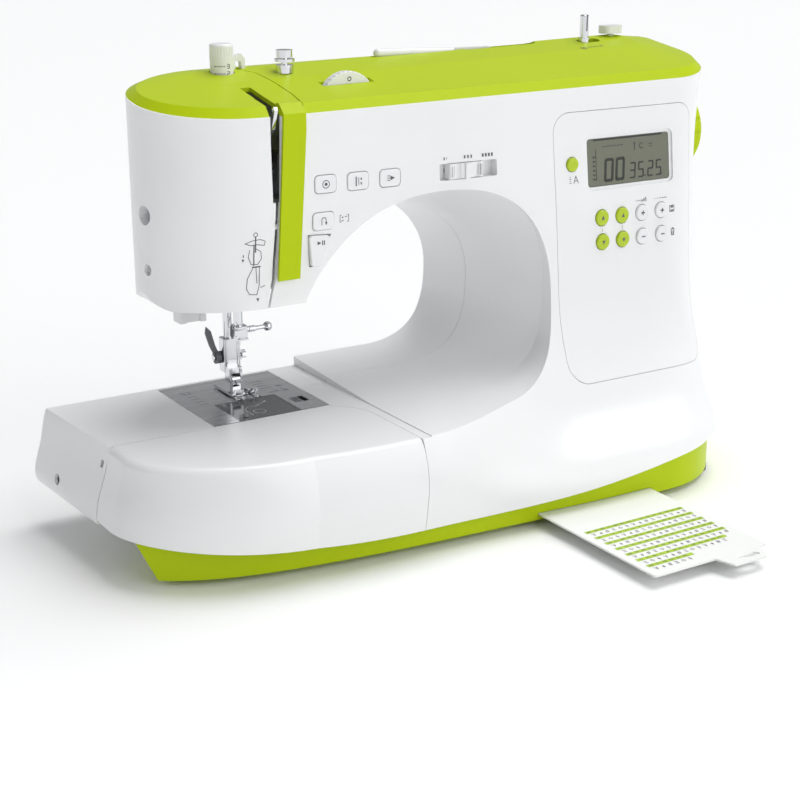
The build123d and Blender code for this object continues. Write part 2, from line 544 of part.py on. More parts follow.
# ---- hook, bobbin case, bobbin --------------------------------------------------------------------------
HOOK_Z0, HOOK_Z1 = 50.0, 66.0
BOBBIN_R, BOBBIN_H, BOBBIN_Z0 = 10.25, 11.5, 56.0
hook = rod_z(HOOK_X, HOOK_Y, HOOK_R, HOOK_Z0, HOOK_Z1) - rod_z(HOOK_X, HOOK_Y, HOOK_R - 2.2, HOOK_Z0 + 2.4, 80)
hook = hook - block(HOOK_X + 4, HOOK_X + 30, HOOK_Y + 4, HOOK_Y + 30, HOOK_Z1 - 6, 80)
hook = hook + rod_z(HOOK_X, HOOK_Y, 5, 36.0, HOOK_Z0)
NODES["rotary_hook"] = hook
case = rod_z(HOOK_X, HOOK_Y, HOOK_R - 2.6, HOOK_Z0 + 2.8, 69.6)
case = case - rod_z(HOOK_X, HOOK_Y, BOBBIN_R + 1.2, BOBBIN_Z0 - 0.4, 80)
case = case - block(HOOK_X - 30, HOOK_X - 7, HOOK_Y - 2, HOOK_Y + 2, 64, 80)
case = case + block(HOOK_X - 3, HOOK_X + 3, HOOK_Y - 22.3, HOOK_Y - HOOK_R + 3.2, 67.0, 69.6)
NODES["bobbin_case"] = case
bobbin = rod_z(HOOK_X, HOOK_Y, BOBBIN_R, BOBBIN_Z0, BOBBIN_Z0 + 1.0)
bobbin = bobbin + rod_z(HOOK_X, HOOK_Y, BOBBIN_R, BOBBIN_Z0 + BOBBIN_H - 1, BOBBIN_Z0 + BOBBIN_H)
bobbin = bobbin + rod_z(HOOK_X, HOOK_Y, 4.2, BOBBIN_Z0, BOBBIN_Z0 + BOBBIN_H)
bobbin = bobbin + rod_z(HOOK_X, HOOK_Y, 8.2, BOBBIN_Z0 + 1, BOBBIN_Z0 + BOBBIN_H - 1)
bobbin = bobbin - rod_z(HOOK_X, HOOK_Y, 3.0, BOBBIN_Z0 - 1, 80)
NODES["bobbin"] = bobbin

# ---- needle bar, clamp, needle ---------------------------------------------------------------------------
BAR_LOW_Z, BAR_HIGH_Z = 120.0, 264.0
needle_bar = rod_z(NEEDLE_X, NEEDLE_Y, BAR_R, BAR_LOW_Z, BAR_HIGH_Z)
needle_bar = needle_bar - rod_z(NEEDLE_X, NEEDLE_Y, 1.1, BAR_LOW_Z - 1, BAR_LOW_Z + 6)
NODES["needle_bar"] = needle_bar
clamp = block(NEEDLE_X - 4.4, NEEDLE_X + 4.4, NEEDLE_Y - 4.8, NEEDLE_Y + 4.4, 112.5, 120.0)
clamp = soften(clamp, clamp.edges().filter_by(Axis.Z), 1.2)
clamp = clamp - rod_z(NEEDLE_X, NEEDLE_Y, 1.1, 100, 130)
clamp = clamp + rod_x(NEEDLE_Y - 0.5, 116.4, 1.5, NEEDLE_X + 4.2, NEEDLE_X + 18)
clamp = clamp + rod_x(NEEDLE_Y - 0.5, 116.4, 2.1, NEEDLE_X + 7, NEEDLE_X + 11)
clamp = clamp + Pos(NEEDLE_X + 20.4, NEEDLE_Y - 0.5, 116.4) * Sphere(3.1)
clamp = clamp + block(NEEDLE_X - 4.4, NEEDLE_X + 4.4, NEEDLE_Y - 5.6, NEEDLE_Y - 2, 110.9, 111.9)
clamp = clamp + block(NEEDLE_X - 4.4, NEEDLE_X - 3, NEEDLE_Y - 5.6, NEEDLE_Y - 2, 110.9, 114)
NODES["needle_clamp"] = clamp
needle = rod_z(NEEDLE_X, NEEDLE_Y, 1.05, 107.0, 124.5)
needle = needle + rod_z(NEEDLE_X, NEEDLE_Y, 0.5, 90.5, 107.0)
needle = needle + Pos(NEEDLE_X, NEEDLE_Y, 88.5) * Cone(0.08, 0.5, 4.0)
needle = needle - block(NEEDLE_X - 2, NEEDLE_X + 2, NEEDLE_Y + 0.55, NEEDLE_Y + 3, 111, 126)
NODES["needle"] = needle

# ---- presser bar, holder, foot ---------------------------------------------------------------------------
FOOT_PIN_Y, FOOT_PIN_Z = 119.5, 82.0
presser_bar = rod_z(NEEDLE_X, PRESSER_Y, BAR_R, 88.0, 246.0)
NODES["presser_bar"] = presser_bar
holder = block(NEEDLE_X - 5, NEEDLE_X + 5, PRESSER_Y - 5.2, PRESSER_Y + 4.6, 86.0, 108.0)
holder = soften(holder, holder.edges().filter_by(Axis.Z), 1.8)
holder = holder - rod_z(NEEDLE_X, PRESSER_Y, BAR_R, 88.0, 120)
shank = block(NEEDLE_X - 4.6, NEEDLE_X + 4.6, FOOT_PIN_Y - 1.6, PRESSER_Y - 3.2, 80.4, 90.0)
shank = shank - block(NEEDLE_X - 3.2, NEEDLE_X + 3.2, 110, 124.2, 78, 86.2)
holder = holder + shank
holder = holder - rod_x(FOOT_PIN_Y, FOOT_PIN_Z, 1.1, -130, -100)
screw = rod_x(PRESSER_Y, 95.0, 1.6, NEEDLE_X + 4.8, NEEDLE_X + 9) + rod_x(PRESSER_Y, 95.0, 3.4, NEEDLE_X + 8.6,
                                                                       NEEDLE_X + 11.4)
for notch in range(12):
    angle = radians(30 * notch)
    screw = screw - rod_x(PRESSER_Y + 3.5 * cos(angle), 95 + 3.5 * sin(angle), 0.45, NEEDLE_X + 8, NEEDLE_X + 12)
NODES["foot_holder"] = holder + screw

LEVER_Y, LEVER_Z = PRESSER_Y + 2.0, 95.0
lever_x1 = NEEDLE_X - 5.4
lever = rod_x(LEVER_Y, LEVER_Z, 4.0, lever_x1 - 3.4, lever_x1)
lever = lever - rod_x(LEVER_Y, LEVER_Z, 1.3, -140, -110)
arm_path = [(lever_x1 - 3.2, 96.8), (lever_x1 - 0.4, 96.8), (lever_x1 - 3.4, 104.0), (lever_x1 - 6.0, 113.5),
            (lever_x1 - 8.8, 116.5), (lever_x1 - 9.6, 112.0), (lever_x1 - 6.8, 103.0), (lever_x1 - 4.6, 98.4)]
lever = lever + slab_xz(arm_path, LEVER_Y - 1.0, LEVER_Y + 1.0) - rod_x(LEVER_Y, LEVER_Z, 1.3, -140, -110)
NODES["foot_release_lever"] = lever
holder_pin = rod_x(LEVER_Y, LEVER_Z, 1.25, lever_x1 - 4.4, NEEDLE_X - 4)
holder_pin = holder_pin + rod_x(LEVER_Y, LEVER_Z, 2.0, lever_x1 - 4.8, lever_x1 - 3.8)
NODES["foot_holder"] = NODES["foot_holder"] + holder_pin

SOLE_W, SOLE_Y0, SOLE_Y1 = 18.0, 103.5, 133.5
SOLE_Z = BED_Z + 0.75
sole = block(NEEDLE_X - SOLE_W / 2, NEEDLE_X + SOLE_W / 2, SOLE_Y0 + 4, SOLE_Y1, SOLE_Z, SOLE_Z + 1.6)
tip_points = [(SOLE_Y0 + 4.2, SOLE_Z), (SOLE_Y0, SOLE_Z + 3.4), (SOLE_Y0 + 0.9, SOLE_Z + 4.4),
              (SOLE_Y0 + 5.4, SOLE_Z + 1.6)]
tip_face = make_face(Polyline([(NEEDLE_X - SOLE_W / 2, y, z) for y, z in tip_points], close=True))
sole = sole + extrude(tip_face, amount=SOLE_W, dir=(1, 0, 0))
sole = sole - block(NEEDLE_X - 1.4, NEEDLE_X + 1.4, 100, 108, 70, 82)
sole = sole - round_slab_z(NEEDLE_X, NEEDLE_Y, 8.6, 4.4, 1.6, 70, 82)
sole = sole - block(NEEDLE_X + 3.2, NEEDLE_X + 4.6, 100, 109.4, 70, 82)
cheeks = block(NEEDLE_X - 2.8, NEEDLE_X + 2.8, FOOT_PIN_Y - 2.2, FOOT_PIN_Y + 2.2, SOLE_Z + 1.4, 82.0)
cheeks = cheeks + rod_x(FOOT_PIN_Y, FOOT_PIN_Z, 2.2, NEEDLE_X - 2.8, NEEDLE_X + 2.8)
pin = rod_x(FOOT_PIN_Y, FOOT_PIN_Z, 1.05, NEEDLE_X - 4.6, NEEDLE_X + 4.6)
NODES["presser_foot"] = sole + cheeks + pin

# ---- presser lifter, buttonhole lever ------------------------------------------------------------------------
LIFT_X, LIFT_Y, LIFT_Z = -112.0, 142.4, 163.0
lifter = rod_y(LIFT_X, LIFT_Z, 5.5, LIFT_Y - 2, LIFT_Y + 2) - rod_y(LIFT_X, LIFT_Z, 2.05, 130, 150)
lifter = lifter + (slab_xz([(-115, 160), (-108, 166.5), (-97.5, 148), (-95, 140.4), (-74, 142.4), (-71.5, 139),
                            (-73, 136), (-97, 135.0), (-102.5, 139.5)], LIFT_Y - 1.4, LIFT_Y + 1.4)
                   - rod_y(LIFT_X, LIFT_Z, 3.0, 130, 150))
NODES["presser_lifter"] = lifter
buttonhole = block(-156.0, -138.0, 112, 124, 126.0, 168.0)
buttonhole = soften(buttonhole, buttonhole.edges().filter_by(Axis.Z), 1.5)
buttonhole = buttonhole - block(-152, -142, 110, 114, 120, 140)
NODES["buttonhole_lever"] = buttonhole

# ---- take-up lever -----------------------------------------------------------------------------------------
TAKE_X, TAKE_Y, TAKE_Z = -117.6, 96.0, 222.0
TAKE_PATH = ((96.0, 222.0), (70.0, 240.0), (56.5, 252.0), (52.5, 262.5))


def flat_arm(points, half, x0, x1):
    """Flat bar in the YZ plane along a bent line, with round joints."""
    shape = None
    for (ya, za), (yb, zb) in zip(points, points[1:]):
        length = ((yb - ya) ** 2 + (zb - za) ** 2) ** 0.5
        ny, nz = -(zb - za) / length * half, (yb - ya) / length * half
        corners = [(ya + ny, za + nz), (yb + ny, zb + nz), (yb - ny, zb - nz), (ya - ny, za - nz)]
        face = make_face(Polyline([(x0, y, z) for y, z in corners], close=True))
        piece = extrude(face, amount=x1 - x0, dir=(1, 0, 0)) + rod_x(yb, zb, half, x0, x1)
        shape = piece if shape is None else shape + piece
    return shape


take_up = flat_arm(TAKE_PATH, 2.0, TAKE_X - 1.1, TAKE_X + 1.1)
take_up = take_up + rod_x(TAKE_Y, TAKE_Z, 5.0, TAKE_X - 1.1, TAKE_X + 1.1)
take_up = take_up - rod_x(TAKE_PATH[-1][0], TAKE_PATH[-1][1], 1.0, TAKE_X - 3, TAKE_X + 3)
take_up = take_up - rod_x(TAKE_Y, TAKE_Z, 2.05, TAKE_X - 3, TAKE_X + 3)
NODES["take_up_lever"] = take_up

# ---- main shaft and drive --------------------------------------------------------------------------------
shaft = rod_x(SHAFT_Y, SHAFT_Z, SHAFT_R, -98.0, 238.0)
shaft = shaft + rod_x(SHAFT_Y, SHAFT_Z, 12.0, -100.5, -96.5)
shaft = shaft + rod_x(SHAFT_Y, SHAFT_Z, 27.0, 190.0, 198.0)
NODES["upper_shaft"] = shaft
wheel = rod_x(SHAFT_Y, SHAFT_Z, WHEEL_R, 220.0, WHEEL_FACE_X)
wheel = soften(wheel, wheel.edges().group_by(Axis.X)[-1], 3.5)
for dent in range(20):
    angle = radians(18 * dent)
    wheel = wheel - rod_x(SHAFT_Y + (WHEEL_R + 0.9) * cos(angle), SHAFT_Z + (WHEEL_R + 0.9) * sin(angle), 2.0,
                          226, WHEEL_FACE_X + 1)
wheel = wheel - rod_x(SHAFT_Y, SHAFT_Z, 20.0, WHEEL_FACE_X - 2.2, WHEEL_FACE_X + 1)
wheel = wheel - rod_x(SHAFT_Y, SHAFT_Z, SHAFT_R, 200, 238.0)
NODES["handwheel"] = wheel

MOTOR_X, MOTOR_Y, MOTOR_Z, MOTOR_R = 150.0, 112.0, 96.0, 24.0
PULLEY_R, WHEEL_PULLEY_R, BELT_T = 9.0, 27.0, 2.0
motor = rod_x(MOTOR_Y, MOTOR_Z, MOTOR_R, MOTOR_X - 30, MOTOR_X + 30)
motor = soften(motor, motor.edges().filter_by(GeomType.CIRCLE), 2.0)
motor = motor + rod_x(MOTOR_Y, MOTOR_Z, 7.0, MOTOR_X - 33, MOTOR_X - 30) + rod_x(MOTOR_Y, MOTOR_Z, 7.0,
                                                                                 MOTOR_X + 30, MOTOR_X + 33)
motor = motor - rod_x(MOTOR_Y, MOTOR_Z, 3.0 + RUN_FIT, MOTOR_X, MOTOR_X + 40)
NODES["drive_motor"] = motor
pulley = rod_x(MOTOR_Y, MOTOR_Z, 3.0, MOTOR_X + 5, 200.0) + rod_x(MOTOR_Y, MOTOR_Z, PULLEY_R, 190.0, 198.0)
NODES["motor_pulley"] = pulley


def belt_face(extra):
    """Outline of the belt loop round both pulleys."""
    low, high = PULLEY_R + 0.35 + extra, WHEEL_PULLEY_R + 0.35 + extra
    gap = SHAFT_Z - MOTOR_Z
    lean = (high - low) / gap
    side = (1 - lean ** 2) ** 0.5
    right_low = (MOTOR_Y + low * side, MOTOR_Z - low * lean)
    right_high = (SHAFT_Y + high * side, SHAFT_Z - high * lean)
    left_low = (MOTOR_Y - low * side, right_low[1])
    left_high = (SHAFT_Y - high * side, right_high[1])
    edges = [
        Line((191, *right_low), (191, *right_high)),
        ThreePointArc((191, *right_high), (191, SHAFT_Y, SHAFT_Z + high), (191, *left_high)),
        Line((191, *left_high), (191, *left_low)),
        ThreePointArc((191, *left_low), (191, MOTOR_Y, MOTOR_Z - low), (191, *right_low)),
    ]
    return make_face(Wire(edges))


belt = extrude(belt_face(BELT_T), amount=6, dir=(1, 0, 0)) - extrude(belt_face(0), amount=6, dir=(1, 0, 0))
NODES["drive_belt"] = belt

# ---- chassis ---------------------------------------------------------------------------------------------
chassis = block(-96, 180, 94, 130, 198, 202)
for lug_x in (-90, 30, 172):
    chassis = chassis + block(lug_x, lug_x + 8, 104, 120, 200, 228)
chassis = chassis + block(-126, -102, 136, 139.6, 152, 244) + block(-104, -92, 127, 139.6, 198, 244)
chassis = chassis + block(-126, -107, 119, 139, 236, 242) + block(-126, -107, 104, 139, 153, 159)
chassis = chassis + block(-126, -107, 104, 112, 228, 234) + block(-126, -123, 104, 139, 228, 242)
chassis = chassis + block(110, 186, 136, 140, 34, 198) + block(110, 180, 126, 140, 198, 202)
chassis = chassis + block(100, 184, 80, 140, 36, 40) + block(-226, 110, 128, 140, 32, 40)
chassis = chassis + block(112, 118, 120, 140, 40, 198) + block(-100, -80, 128, 139.6, 32, 40)
chassis = chassis + block(-136, -100, 74, 130, 32.0, 35.4)
chassis = chassis - rod_x(SHAFT_Y, SHAFT_Z, SHAFT_R + RUN_FIT, -110, 220)
chassis = chassis - rod_z(NEEDLE_X, NEEDLE_Y, BAR_R + RUN_FIT, 120, 260)
chassis = chassis - rod_z(NEEDLE_X, PRESSER_Y, BAR_R + RUN_FIT, 120, 260)
chassis = chassis - rod_x(MOTOR_Y, MOTOR_Z, MOTOR_R + 0.5, 80, 186)
chassis = chassis + rod_y(LIFT_X, LIFT_Z, 2.0, 139.4, 145.0)
chassis = chassis + rod_x(TAKE_Y, TAKE_Z, 2.0, -119.6, -114.0) + block(-115.6, -114.0, 92, 100, 218, 236)
chassis = chassis + block(-126, -114.0, 92, 105, 230, 236)
NODES["chassis"] = chassis

# ---- top cover and head cap -----------------------------------------------------------------------------------
# Each row: height over the rim, slopes in x and y, then left, right, front, back and corner size.
DOME = ((0.0, RIM_SLOPE_X, RIM_SLOPE_Y, -185.5, 236.5, 51.5, 149.0, 48.0),
        (5.0, 0.011, 0.155, -180.5, 231.5, 56.5, 141.0, 43.0),
        (5.6, 0.016, 0.165, -169.0, 216.0, 72.0, 134.5, 30.0),
        (7.2, 0.024, 0.165, -140.0, 198.0, 100.0, 128.0, 13.0))


def dome_form(inset, drop):
    """Green top: a bevel along the edge, then a low crown that is highest towards the back."""
    rings = []
    for height, slope_x, slope_y, left, right, front, back, corner in DOME:
        size = corner - inset
        rings.append(ring(RIM_Z + height - drop, left + inset, right - inset, front + inset, front + inset,
                          back - inset, size, (size * 1.3, size * 0.95), (size * 1.3, size * 0.98),
                          min(10.0, size), (slope_x, slope_y)))
    bevel = loft(rings[:2], ruled=True)
    return bevel + loft(rings[1:])


top_solid = dome_form(0, 0)
top_shell = top_solid - dome_form(WALL, WALL)
top_shell = top_shell - take_up_slot - block(-121.0, -114.2, 40, 90, 236, 300)

PRESSURE_X, PRESSURE_Y, PRESSURE_R = -115.9, 124.0, 7.3
PRESSURE_TOP_Z = 294.7
TENSION_X, TENSION_Y, TENSION_Z, TENSION_R = -51.3, 84.0, 258.7, 19.5
TENSION_W = 6.0
SPINDLE_X, SPINDLE_Y, SPINDLE_R = 160.0, 118.0, 3.0
STOP_X, STOP_Y = 190.0, 126.0
PIN_Y, PIN_LENGTH, PIN_R = 128.0, 86.0, 3.0
PIN_TILT = 1.87                 # degrees that the lowered spool pin rises towards its tip
PIVOT_X, PIVOT_Z, PIVOT_R = 84.0, 279.6, 3.2
GUIDE_X, GUIDE_Y = -79.0, 112.0
pin_place = Pos(PIVOT_X, PIN_Y, PIVOT_Z) * Rot(0, PIN_TILT, 0)

pressure_hole = rod_z(PRESSURE_X, PRESSURE_Y, PRESSURE_R + 0.6, 240, 300)
top_shell = top_shell - block(TENSION_X - 18, TENSION_X + 18, TENSION_Y - TENSION_W / 2 - 0.6,
                              TENSION_Y + TENSION_W / 2 + 0.6, 240, 300)
top_shell = top_shell - round_slab_z(SPINDLE_X + 4, SPINDLE_Y, 18, 9, 4.4, 240, 300)
spool_well = round_slab_z(93, PIN_Y + 1, 62, 13, 6, 275.6, 300)
well_lining = round_slab_z(57, PIN_Y + 1, 139, 18, 8, 272.6, 300) & top_solid
top_shell = top_shell + well_lining - spool_well - pin_place * rod_x(0, 0, PIN_R + 0.7, -PIN_LENGTH - 7, 0)
top_shell = top_shell - rod_z(GUIDE_X, GUIDE_Y, 5.6, 240, 300) - rod_z(STOP_X, STOP_Y, 2.2, 240, 300)
top_shell = top_shell - block(-107.0, -98.6, 127, 131, 240, 300)

SEAM_LINE = ((-109.5, 170), (-109.5, 134), (-97.6, 116), (-95.8, 94), (-95.8, 72), (-98.4, 53), (-98.4, 40))
cap_region = slab_xy([(-300, 170)] + list(SEAM_LINE) + [(-300, 40)], 200, 320)
cover_region = slab_xy([(x + 0.8, y) for x, y in SEAM_LINE] + [(300, 40), (300, 170)], 200, 320)
strip = slab_xz([(-113.6, RIM_Z - 1), (-98.9, RIM_Z - 1), (-98.9, 250), (-105.0, 162), (-119.2, 162),
                 (-114.0, 250)], 48.8, 50.7)
fold = make_face(Polyline([(-113.6, y, RIM_Z + up) for y, up in
                           ((48.8, -1.2), (48.8, 0.6), (54.8, 6.2), (58.5, 6.2), (58.5, 3.6), (53.2, -1.2))], close=True))
strip = strip + extrude(fold, amount=14.7, dir=(1, 0, 0))
NODES["head_cap"] = (top_shell & cap_region) + strip - pressure_hole
front_cover = front_cover - slab_xz([(-113.8, 270), (-98.6, 270), (-98.6, 250), (-104.7, 161.7), (-125, 161.7),
                                     (-125, 250)], 40, 50.9)
front_cover = front_cover - block(-113.8, -98.6, 40, 60, RIM_Z - 1.4, 270)
NODES["top_cover"] = (top_shell & cover_region) - pressure_hole

pressure_dial = rod_z(PRESSURE_X, PRESSURE_Y, PRESSURE_R, 268.0, PRESSURE_TOP_Z)
pressure_dial = soften(pressure_dial, pressure_dial.edges().group_by(Axis.Z)[-1], 1.8)
for rib in range(24):
    angle = radians(15 * rib)
    pressure_dial = pressure_dial - rod_z(PRESSURE_X + (PRESSURE_R + 0.3) * cos(angle),
                                          PRESSURE_Y + (PRESSURE_R + 0.3) * sin(angle), 0.55,
                                          PRESSURE_TOP_Z - 7.5, PRESSURE_TOP_Z - 2.2)
pressure_dial = pressure_dial - rod_z(PRESSURE_X, PRESSURE_Y, 3.0, 260, 284)
NODES["pressure_dial"] = pressure_dial

tension_dial = rod_y(TENSION_X, TENSION_Z, TENSION_R, TENSION_Y - TENSION_W / 2, TENSION_Y + TENSION_W / 2)
tension_dial = soften(tension_dial, tension_dial.edges().filter_by(GeomType.CIRCLE), 0.8)
for rib in range(36):
    angle = radians(10 * rib)
    tension_dial = tension_dial - rod_y(TENSION_X + (TENSION_R + 0.25) * cos(angle),
                                        TENSION_Z + (TENSION_R + 0.25) * sin(angle), 0.7, 75, TENSION_Y)
tension_dial = tension_dial - rod_y(TENSION_X, TENSION_Z, 3.05, 70, 100)
NODES["tension_dial"] = tension_dial
chassis = NODES["chassis"]
chassis = chassis + block(TENSION_X - 5, TENSION_X + 5, 96, 100, 200, 264)
chassis = chassis + rod_y(TENSION_X, TENSION_Z, 3.0, TENSION_Y - 3, 97)
chassis = chassis + block(-126, -122, 119, 129, 240, 266) + block(-126, -110, 119, 129, 262, 266)
chassis = chassis + rod_z(PRESSURE_X, PRESSURE_Y, 2.95, 264, 281)
NODES["chassis"] = chassis

spindle = rod_z(SPINDLE_X, SPINDLE_Y, SPINDLE_R, 262.0, 301.0)
spindle = soften(spindle, spindle.edges().group_by(Axis.Z)[-1], 0.9)
spindle = spindle + rod_z(SPINDLE_X, SPINDLE_Y, 4.0, 262.0, 285.5)
spindle = spindle - block(SPINDLE_X - 0.5, SPINDLE_X + 0.5, SPINDLE_Y - 5, SPINDLE_Y + 5, 290, 302)
NODES["winder_spindle"] = spindle
stop = rod_z(STOP_X, STOP_Y, 2.2, 276.0, 288.0) + round_slab_z(STOP_X, STOP_Y, 17.0, 11.0, 4.5, 286.6, 292.0)
NODES["winder_stop"] = stop

spool_pin = Pos(-PIN_LENGTH / 2 - 12, 0, 0) * Rot(0, 90, 0) * Cone(PIN_R, PIN_R - 0.3, PIN_LENGTH - 24)
spool_pin = spool_pin + Pos(-PIN_LENGTH, 0, 0) * Sphere(PIN_R)
spool_pin = spool_pin + slab_xz([(-27, -2.5), (-6, -2.2), (0, -2.9), (0, 2.9), (-27, 2.5)], -2.5, 2.5)
spool_pin = pin_place * (spool_pin + rod_y(0, 0, PIVOT_R, -2.5, 2.5))
NODES["spool_pin"] = spool_pin

winder_guide = rod_z(GUIDE_X, GUIDE_Y, 5.6, 276.0, 281.0) + rod_z(GUIDE_X, GUIDE_Y, 2.4, 281.0, 285.0)
winder_guide = winder_guide + rod_z(GUIDE_X, GUIDE_Y, 6.4, 283.0, 284.6) + rod_z(GUIDE_X, GUIDE_Y, 5.2, 285.6, 290.0)
winder_guide = winder_guide + rod_z(GUIDE_X, GUIDE_Y, 2.4, 284.6, 285.6)
NODES["winder_guide"] = winder_guide
hook_path = [(-107.0, 274.0), (-107.0, 286.0), (-101.0, 287.4), (-98.6, 284.4), (-98.6, 274.0), (-100.2, 274.0),
             (-101.4, 283.0), (-105.2, 283.0), (-105.2, 274.0)]
NODES["thread_hook"] = slab_xz(hook_path, 127.0, 131.0)

# ---- screws, inlet, switch --------------------------------------------------------------------------------
screws = []
for x, y in PLATE_SCREWS:
    head = rod_z(x, y, 3.3, BED_Z - 0.8, BED_Z + 0.1) + rod_z(x, y, 1.9, 64, BED_Z - 0.8)
    screws.append(head - block(x - 2.6, x + 2.6, y - 0.4, y + 0.4, BED_Z - 0.45, BED_Z + 1))
screws.append(rod_x(90, 202, 4.2, -182.0, -180.0) + rod_x(90, 202, 2.0, -180.0, -170))
screws.append(rod_x(118, 38, 3.2, -238.5, -236.5) + rod_x(118, 38, 1.8, -236.5, -226.4))
NODES["case_screws"] = Compound(screws)

INLET_Y0, INLET_Y1, INLET_Z0, INLET_Z1 = 107.5, 133.5, 36.5, 65.0
INLET_X0, INLET_FACE_X = 190.0, 203.0
ROCKER_X, ROCKER_Y, ROCKER_Z, ROCKER_PIN_R = 199.5, 120.5, 57.8, 1.4

rear_cover = rear_cover - block(180, 240, INLET_Y0, INLET_Y1, INLET_Z0, INLET_Z1)
inlet = block(INLET_X0, 240, INLET_Y0 + 0.2, INLET_Y1 - 0.2, INLET_Z0 + 0.2, INLET_Z1 - 0.2) & casing_form(0.3)
inlet = inlet - block(INLET_FACE_X, 240, INLET_Y0 + 1.8, INLET_Y1 - 1.8, INLET_Z0 + 1.8, INLET_Z1 - 1.8)
inlet = inlet - block(INLET_FACE_X - 9, 220, 110, 131, 39.5, 50.5)
inlet = inlet - block(192.5, 220, ROCKER_Y - 11.2, ROCKER_Y + 11.2, ROCKER_Z - 4.6, ROCKER_Z + 4.6)
inlet = inlet - rod_z(ROCKER_X, ROCKER_Y, ROCKER_PIN_R + RUN_FIT, ROCKER_Z - 5.9, ROCKER_Z + 5.9)
for pin_y in (115.5, 120.5, 125.5):
    inlet = inlet + rod_x(pin_y, 45.0, 1.1, INLET_FACE_X - 10, INLET_FACE_X - 2)
NODES["power_inlet"] = inlet
rocker_points = [(194.5, ROCKER_Y - 5), (203.6, ROCKER_Y - 9.6), (202.6, ROCKER_Y), (206.0, ROCKER_Y + 9.6),
                 (194.5, ROCKER_Y + 5)]
rocker_pin = rod_z(ROCKER_X, ROCKER_Y, ROCKER_PIN_R, ROCKER_Z - 5.7, ROCKER_Z + 5.7)
NODES["power_switch"] = slab_xy(rocker_points, ROCKER_Z - 4.2, ROCKER_Z + 4.2) + rocker_pin

NODES["front_cover"] = front_cover
NODES["rear_cover"] = rear_cover

# ---- write one STEP file per piece --------------------------------------------------------------------------
os.makedirs("parts", exist_ok=True)
for name, shape in NODES.items():
    export_step(shape, "parts/" + name + ".step")
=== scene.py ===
import json
from math import atan2, cos, pi, radians, sin

import bpy
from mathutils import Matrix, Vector
from mathutils.bvhtree import BVHTree


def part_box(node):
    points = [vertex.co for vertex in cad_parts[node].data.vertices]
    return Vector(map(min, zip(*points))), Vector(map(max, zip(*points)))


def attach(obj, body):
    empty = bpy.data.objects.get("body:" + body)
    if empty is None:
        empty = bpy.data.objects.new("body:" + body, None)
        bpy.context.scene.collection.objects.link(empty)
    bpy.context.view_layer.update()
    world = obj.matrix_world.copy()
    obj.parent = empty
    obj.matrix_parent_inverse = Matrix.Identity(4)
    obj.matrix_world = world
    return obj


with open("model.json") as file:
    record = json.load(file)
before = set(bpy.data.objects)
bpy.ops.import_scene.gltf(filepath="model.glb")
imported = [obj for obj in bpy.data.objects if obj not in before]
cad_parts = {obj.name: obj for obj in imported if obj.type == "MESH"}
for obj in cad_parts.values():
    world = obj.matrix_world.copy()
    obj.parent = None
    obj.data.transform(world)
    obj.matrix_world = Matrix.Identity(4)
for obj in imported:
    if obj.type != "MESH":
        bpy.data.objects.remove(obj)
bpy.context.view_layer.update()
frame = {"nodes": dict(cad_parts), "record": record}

NODES = frame["nodes"]
MM = 0.001
INK_LIFT = 0.00012              # printed marks stand this far off the surface
CAMERA_AT = (-0.535, -0.750, 0.384)
CAMERA_DIR = (0.5042, 0.8047, -0.3133)
LENS, SENSOR = 69.75, 36.0
FLOOR_SIZE = 40.0               # half the floor's width, in metres
HOLDER_SCREW_Y, HOLDER_SCREW_Z = 0.128, 0.095
LAMP_AT = (-0.148, 0.090, 0.1490)


# ---- camera, light and floor ----------------------------------------------------------------------
def make_camera():
    data = bpy.data.cameras.new("camera")
    data.lens = LENS
    data.sensor_width = SENSOR
    camera = bpy.data.objects.new("camera", data)
    bpy.context.collection.objects.link(camera)
    camera.location = CAMERA_AT
    camera.rotation_euler = Vector(CAMERA_DIR).to_track_quat("-Z", "Y").to_euler()
    bpy.context.scene.camera = camera


def area_light(name, place, target, size, power):
    data = bpy.data.lights.new(name, "AREA")
    data.shape = "RECTANGLE"
    data.size, data.size_y = size
    data.energy = power
    light = bpy.data.objects.new(name, data)
    bpy.context.collection.objects.link(light)
    light.location = place
    aim = Vector(target) - Vector(place)
    light.rotation_euler = aim.to_track_quat("-Z", "Y").to_euler()


def sun(name, from_side, power, softness):
    """Very soft light that comes evenly from one side."""
    data = bpy.data.lights.new(name, "SUN")
    data.energy = power
    data.angle = radians(softness)
    light = bpy.data.objects.new(name, data)
    bpy.context.collection.objects.link(light)
    light.rotation_euler = (-Vector(from_side)).to_track_quat("-Z", "Y").to_euler()


def make_studio():
    sun("key", (0.45, 0.1, 1.0), 1.95, 45)
    sun("fill", (0.5, -1.0, 0.5), 1.1, 60)
    area_light("left_panel", (-1.5, 0.1, 0.9), (-0.1, 0.05, 0.15), (0.4, 1.2), 0.4)
    world = bpy.data.worlds.new("studio")
    bpy.context.scene.world = world
    world.use_nodes = True
    background = world.node_tree.nodes["Background"]
    background.inputs["Color"].default_value = (0.97, 0.985, 1.0, 1)
    background.inputs["Strength"].default_value = 0.36
    bpy.context.scene.view_settings.view_transform = "Standard"


def make_floor():
    mesh = bpy.data.meshes.new("floor")
    size = FLOOR_SIZE
    corners = [(-size, -size, 0), (size, -size, 0), (size, size, 0), (-size, size, 0)]
    mesh.from_pydata(corners, [], [(0, 1, 2, 3)])
    floor = bpy.data.objects.new("floor", mesh)
    bpy.context.collection.objects.link(floor)
    material = bpy.data.materials.new("pale_floor")
    material.use_nodes = True
    shader = material.node_tree.nodes["Principled BSDF"]
    shader.inputs["Base Color"].default_value = (0.97, 0.97, 0.972, 1)
    shader.inputs["Roughness"].default_value = 0.6
    mesh.materials.append(material)


